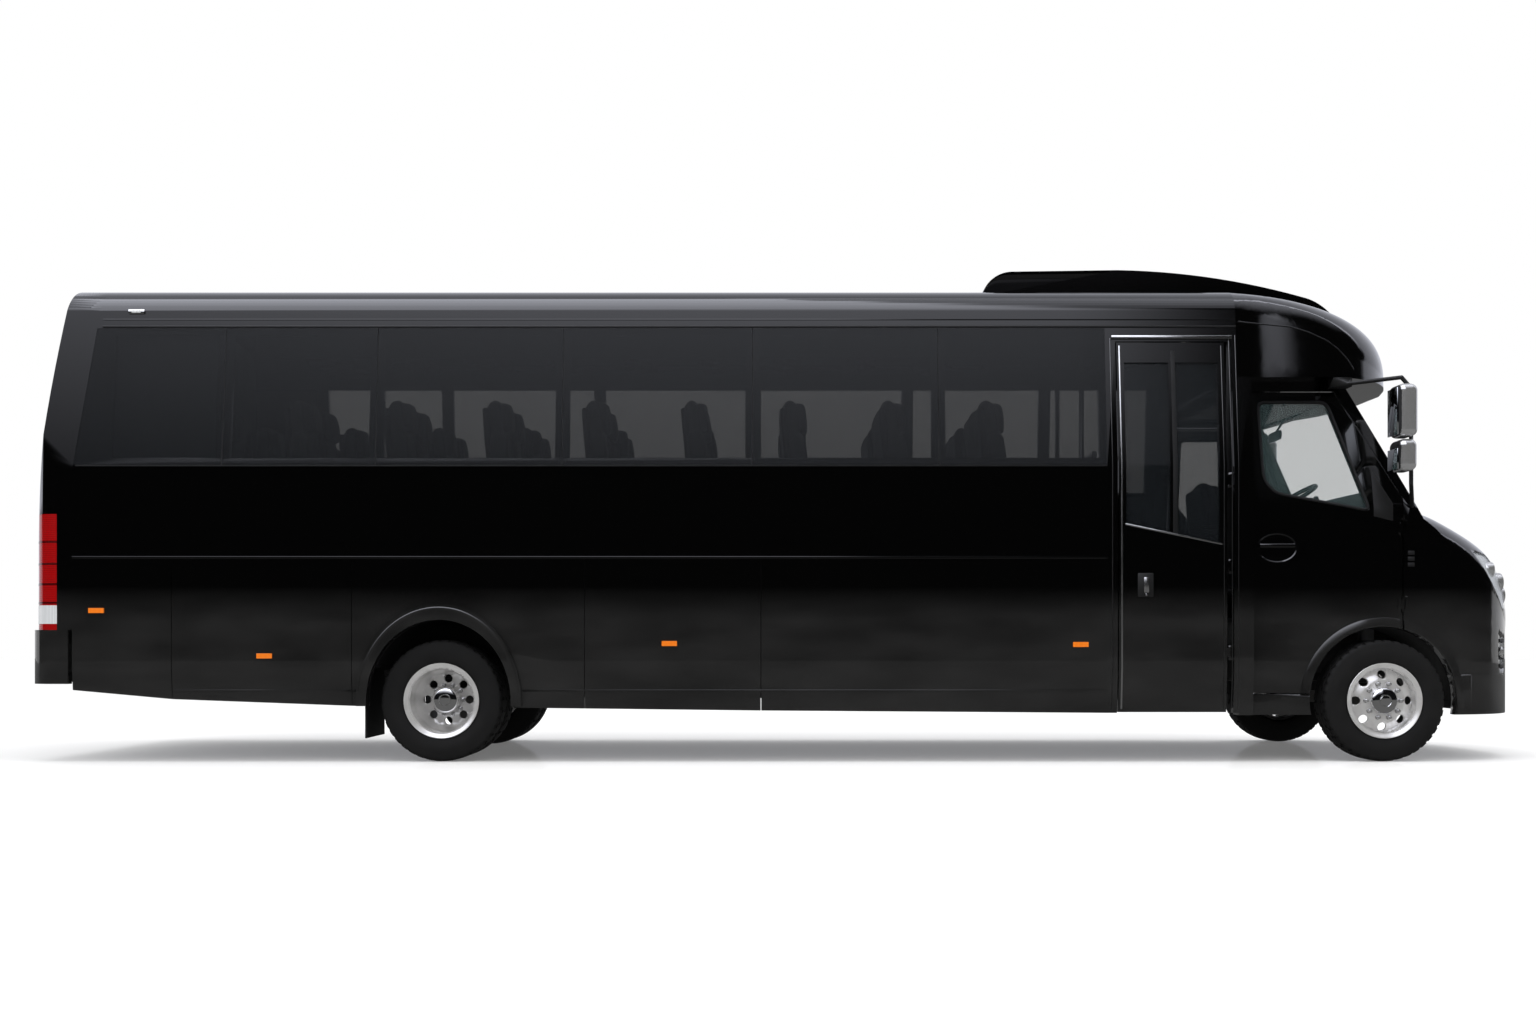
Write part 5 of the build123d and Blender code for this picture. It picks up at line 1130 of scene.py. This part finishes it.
# Heights over the floor: foot, waist, neck and crown of a back, then a cushion, a pan and a back shell
BACK_LEVELS = (0.26, 0.37, 0.93, 1.155)
CUSHION_LEVELS = (0.24, 0.388)
PAN_LEVEL = 0.235
SHELL_LEVELS = (0.24, 1.1)


def seat_pads(rear_x, floor_z, scale, places, side):
    """The pads of one bench: for each place a back, two side bolsters, a head pad and a cushion."""
    pads = []
    for near, far in places:
        low, high = sorted((side * near, side * far))
        foot, waist, neck, crown = (floor_z + scale * up for up in BACK_LEVELS)
        bolster = ((0.06, 0.185), (waist, neck), 0.55, 0.1)
        backs = (
            # y span, x span ahead of the bench's rear, z span, puff, taper of the top
            ((low + 0.03, high - 0.03), (0.05, 0.15), (foot, crown), 0.3, 0.2),
            ((low + 0.09, high - 0.09), (0.075, 0.17), (neck, crown - 0.02), 0.5, 0.15),
            ((low, low + BOLSTER), *bolster),
            ((high - BOLSTER, high), *bolster),
        )
        for y, x, z, puff, taper in backs:
            corners = [(rear_x + x[end], y[end], z[end]) for end in (0, 1)]
            pads.append(cushion(*corners, puff, taper, BACK_LEAN))
        under, top = (floor_z + scale * up for up in CUSHION_LEVELS)
        pads.append(cushion((rear_x + 0.16, low, under), (rear_x + 0.618, high, top), 0.22))
    return pads


def seat_frame(rear_x, floor_z, scale, places, side):
    """A pan on four legs with two floor feet, and a moulded back shell, for one bench."""
    near, far = places[0][0], places[-1][1]
    low, high = sorted((side * near, side * far))
    pan_z = floor_z + scale * PAN_LEVEL
    pan = bar((rear_x + 0.15, low + 0.02, pan_z - 0.03), (rear_x + 0.58, high - 0.02, pan_z + 0.02), 0.01)
    pieces = [pan]
    for y in (side * (near + 0.1), side * (far - 0.1)):
        for ahead in (0.2, 0.44):
            pieces.append(tube([(rear_x + ahead, y, z) for z in (floor_z, pan_z)], 0.016))
        foot = bar((rear_x + 0.16, y - 0.03, floor_z), (rear_x + 0.48, y + 0.03, floor_z + 0.012), 0.003)
        pieces.append(foot)
    under, top = (floor_z + scale * up for up in SHELL_LEVELS)
    corners = ((rear_x + 0.03, low + 0.015, under), (rear_x + 0.075, high - 0.015, top))
    shell = cushion(*corners, 0.12, 0.06, BACK_LEAN)
    return pieces + [shell]


def seat_set(name, rears, floor_z, scale, places, stands_for):
    """The pads and frames of a set of seats on both sides."""
    pads, frames = [], []
    for hand, side in SIDES:
        for rear_x in rears:
            pads += seat_pads(rear_x, floor_z, scale, places, side)
            frames += seat_frame(rear_x, floor_z, scale, places, side)
    pads = settle(joined(pads), f"{name}_pads", "seat_cloth", cloth, stands_for)
    settle(joined(frames), f"{name}_frames", *TRIM)


bench_rears = [LAST_BENCH_X + row * SEAT_PITCH for row in range(SEAT_ROWS)]
seat_set("bench", bench_rears, SALOON_FLOOR_Z, 1.0, BENCH_PLACES, "passenger_seats")
seat_set("cab_seat", (CAB_SEAT_X,), CAB_FLOOR_Z, CAB_SEAT_SCALE, CAB_PLACES, "cab_seats")

# Driver's fittings: dash pad, dials, a shift lever and the inside mirror
STEER = pivots["steering"]
DIAL_SHIFTS = (-0.11, 0.0, 0.11)
dash_pad = cushion((3.8, -0.98, 1.6), (3.95, 0.98, 1.78), 0.35)
settle(dash_pad, "dash_pad", *TRIM)
dials = [drum((STEER.x + 0.16, STEER.y + y, 1.79), 0.05, 0.02, "X", 40, 0.004) for y in DIAL_SHIFTS]
settle(joined(dials), "dash_dials", *TRIM)
knob = cushion((3.575, -0.02, 1.36), (3.625, 0.03, 1.42), 0.9)
stick = tube([(3.62, 0.005, 0.93), (3.62, 0.005, 1.1), (3.6, 0.005, 1.38)], 0.01)
settle(joined([stick, knob]), "shift_lever", *TRIM)
inside_mirror = cushion((3.45, -0.13, 2.2), (3.475, 0.13, 2.27), 0.4)
stay = tube([(3.46, 0.0, 2.25), (3.5, 0.0, 2.31), (3.53, 0.0, 2.36)], 0.008)
settle(joined([inside_mirror, stay]), "inside_mirror", *TRIM)


# Studio: pale floor, soft overhead light, the photograph's camera

FLOOR_HALF = 60.0
FLOOR_LIFT = 0.14
FLOOR_SHEEN = 0.1
FLOOR_PAINTED_REFLECTION = 0.12
WALL_GLOW = 0.7
OVERHEAD_PLACE = (0.0, -1.0, 7.5)
OVERHEAD_SIZE = (13.0, 6.0)
OVERHEAD_WATTS = 500.0


def studio_floor():
    """White floor, matt with a slow drift in shade; camera rays see it lifted a little, and glossy rays see a
    flat dim grey, a painted reflection.
    """
    bpy.ops.mesh.primitive_plane_add(size=2 * FLOOR_HALF, location=(0, 0, 0))
    floor = bpy.context.active_object
    floor.name = "studio_floor"
    finish = Finish("studio_floor")
    drift = finish.noise(0.6, 3.0)
    finish.surface({
        "Base Color": finish.blend(drift, shade(0.9), shade(0.94)),
        "Roughness": 0.6 + 0.1 * drift,
        "Specular IOR Level": 0.0,
    })
    lift = finish.node("ShaderNodeEmission", None, {"Color": shade(1.0), "Strength": FLOOR_LIFT}, "Emission")
    sheen = finish.node("ShaderNodeBsdfGlossy", None, {"Color": shade(1.0), "Roughness": 0.06}, "BSDF")
    # In glossy reflections the floor shows as a flat dim grey: a painted reflection, darker than the lit
    # floor
    painted_floor_reflection = finish.node("ShaderNodeEmission", None, {"Color": shade(FLOOR_PAINTED_REFLECTION), "Strength": 1.0})
    base = Field(finish, finish.shader.outputs["BSDF"])
    lifted = finish.node("ShaderNodeAddShader", None, {0: base, 1: lift})
    seen = finish.node("ShaderNodeMixShader", None, {0: FLOOR_SHEEN, 1: lifted, 2: sheen})
    camera, glossy = finish.rays("Is Camera Ray", "Is Glossy Ray")
    unseen = finish.node("ShaderNodeMixShader", None, {0: glossy, 1: base, 2: painted_floor_reflection})
    total = finish.node("ShaderNodeMixShader", None, {0: camera, 1: unseen, 2: seen})
    finish.tree.links.new(total.socket, finish.tree.nodes["Material Output"].inputs["Surface"])
    floor.data.materials.append(finish.material)


def studio_world():
    """White to the camera and through glass; in reflections a white wall behind, a dark room before it
    and a bright ceiling whose near end stops short of the cab."""
    world = bpy.data.worlds.new("studio")
    bpy.context.scene.world = world
    world.use_nodes = True
    sky = Finish("studio", world.node_tree)
    camera, through, glossy = sky.rays("Is Camera Ray", "Is Transmission Ray", "Is Glossy Ray")
    direct = sky.node("ShaderNodeMath", {"operation": "MAXIMUM"}, {0: camera, 1: through})
    way = sky.node("ShaderNodeTexCoord", output="Generated")
    x, y, z = (sky.node("ShaderNodeSeparateXYZ", None, {0: way}, name) for name in "XYZ")

    def ramp(value, start, end):
        return sky.ramp(value, start, end, kind="SMOOTHSTEP")

    along = x / (0.001 - y)
    ceiling = ramp(z, 0.2, 0.62) * ramp(along, 0.34, 0.2) * 2.4 + ramp(z, 0.55, 0.98) * 1.2
    ceiling_tint = sky.blend(ramp(z, 0.0, 0.05), shade(1.0), shade(1.0, (0.95, 0.97, 1.08)))
    wall = ramp(y, 0.02, 0.12)
    glow = ceiling * (1.0 - wall) + WALL_GLOW * wall + 0.004
    reflected = sky.node("ShaderNodeVectorMath", {"operation": "SCALE"}, {0: ceiling_tint, "Scale": glow})
    lit = sky.blend(glossy, shade(1.0), reflected)
    colour = sky.blend(direct, lit, shade(1.0))
    background = world.node_tree.nodes["Background"]
    sky.fill(background.inputs["Color"], colour)


def overhead_light():
    """One wide softbox over the coach, left out of reflections."""
    bpy.ops.object.light_add(type="AREA", location=OVERHEAD_PLACE)
    lamp = bpy.context.active_object
    lamp.name = "overhead"
    lamp.data.shape = "RECTANGLE"
    lamp.data.size, lamp.data.size_y = OVERHEAD_SIZE
    lamp.data.energy = OVERHEAD_WATTS
    lamp.visible_glossy = False


def studio_camera():
    bpy.ops.object.camera_add(location=CAMERA_PLACE, rotation=(pi / 2, 0, 0))
    camera = bpy.context.active_object
    camera.data.sensor_width = SENSOR_WIDTH
    camera.data.lens = LENS
    camera.data.shift_y = (HORIZON_ROW - IMAGE_HEIGHT / 2) / IMAGE_WIDTH
    camera.data.clip_end = 200.0
    bpy.context.scene.camera = camera


studio_floor()
studio_world()
overhead_light()
studio_camera()
bpy.context.scene.view_settings.view_transform = "Standard"
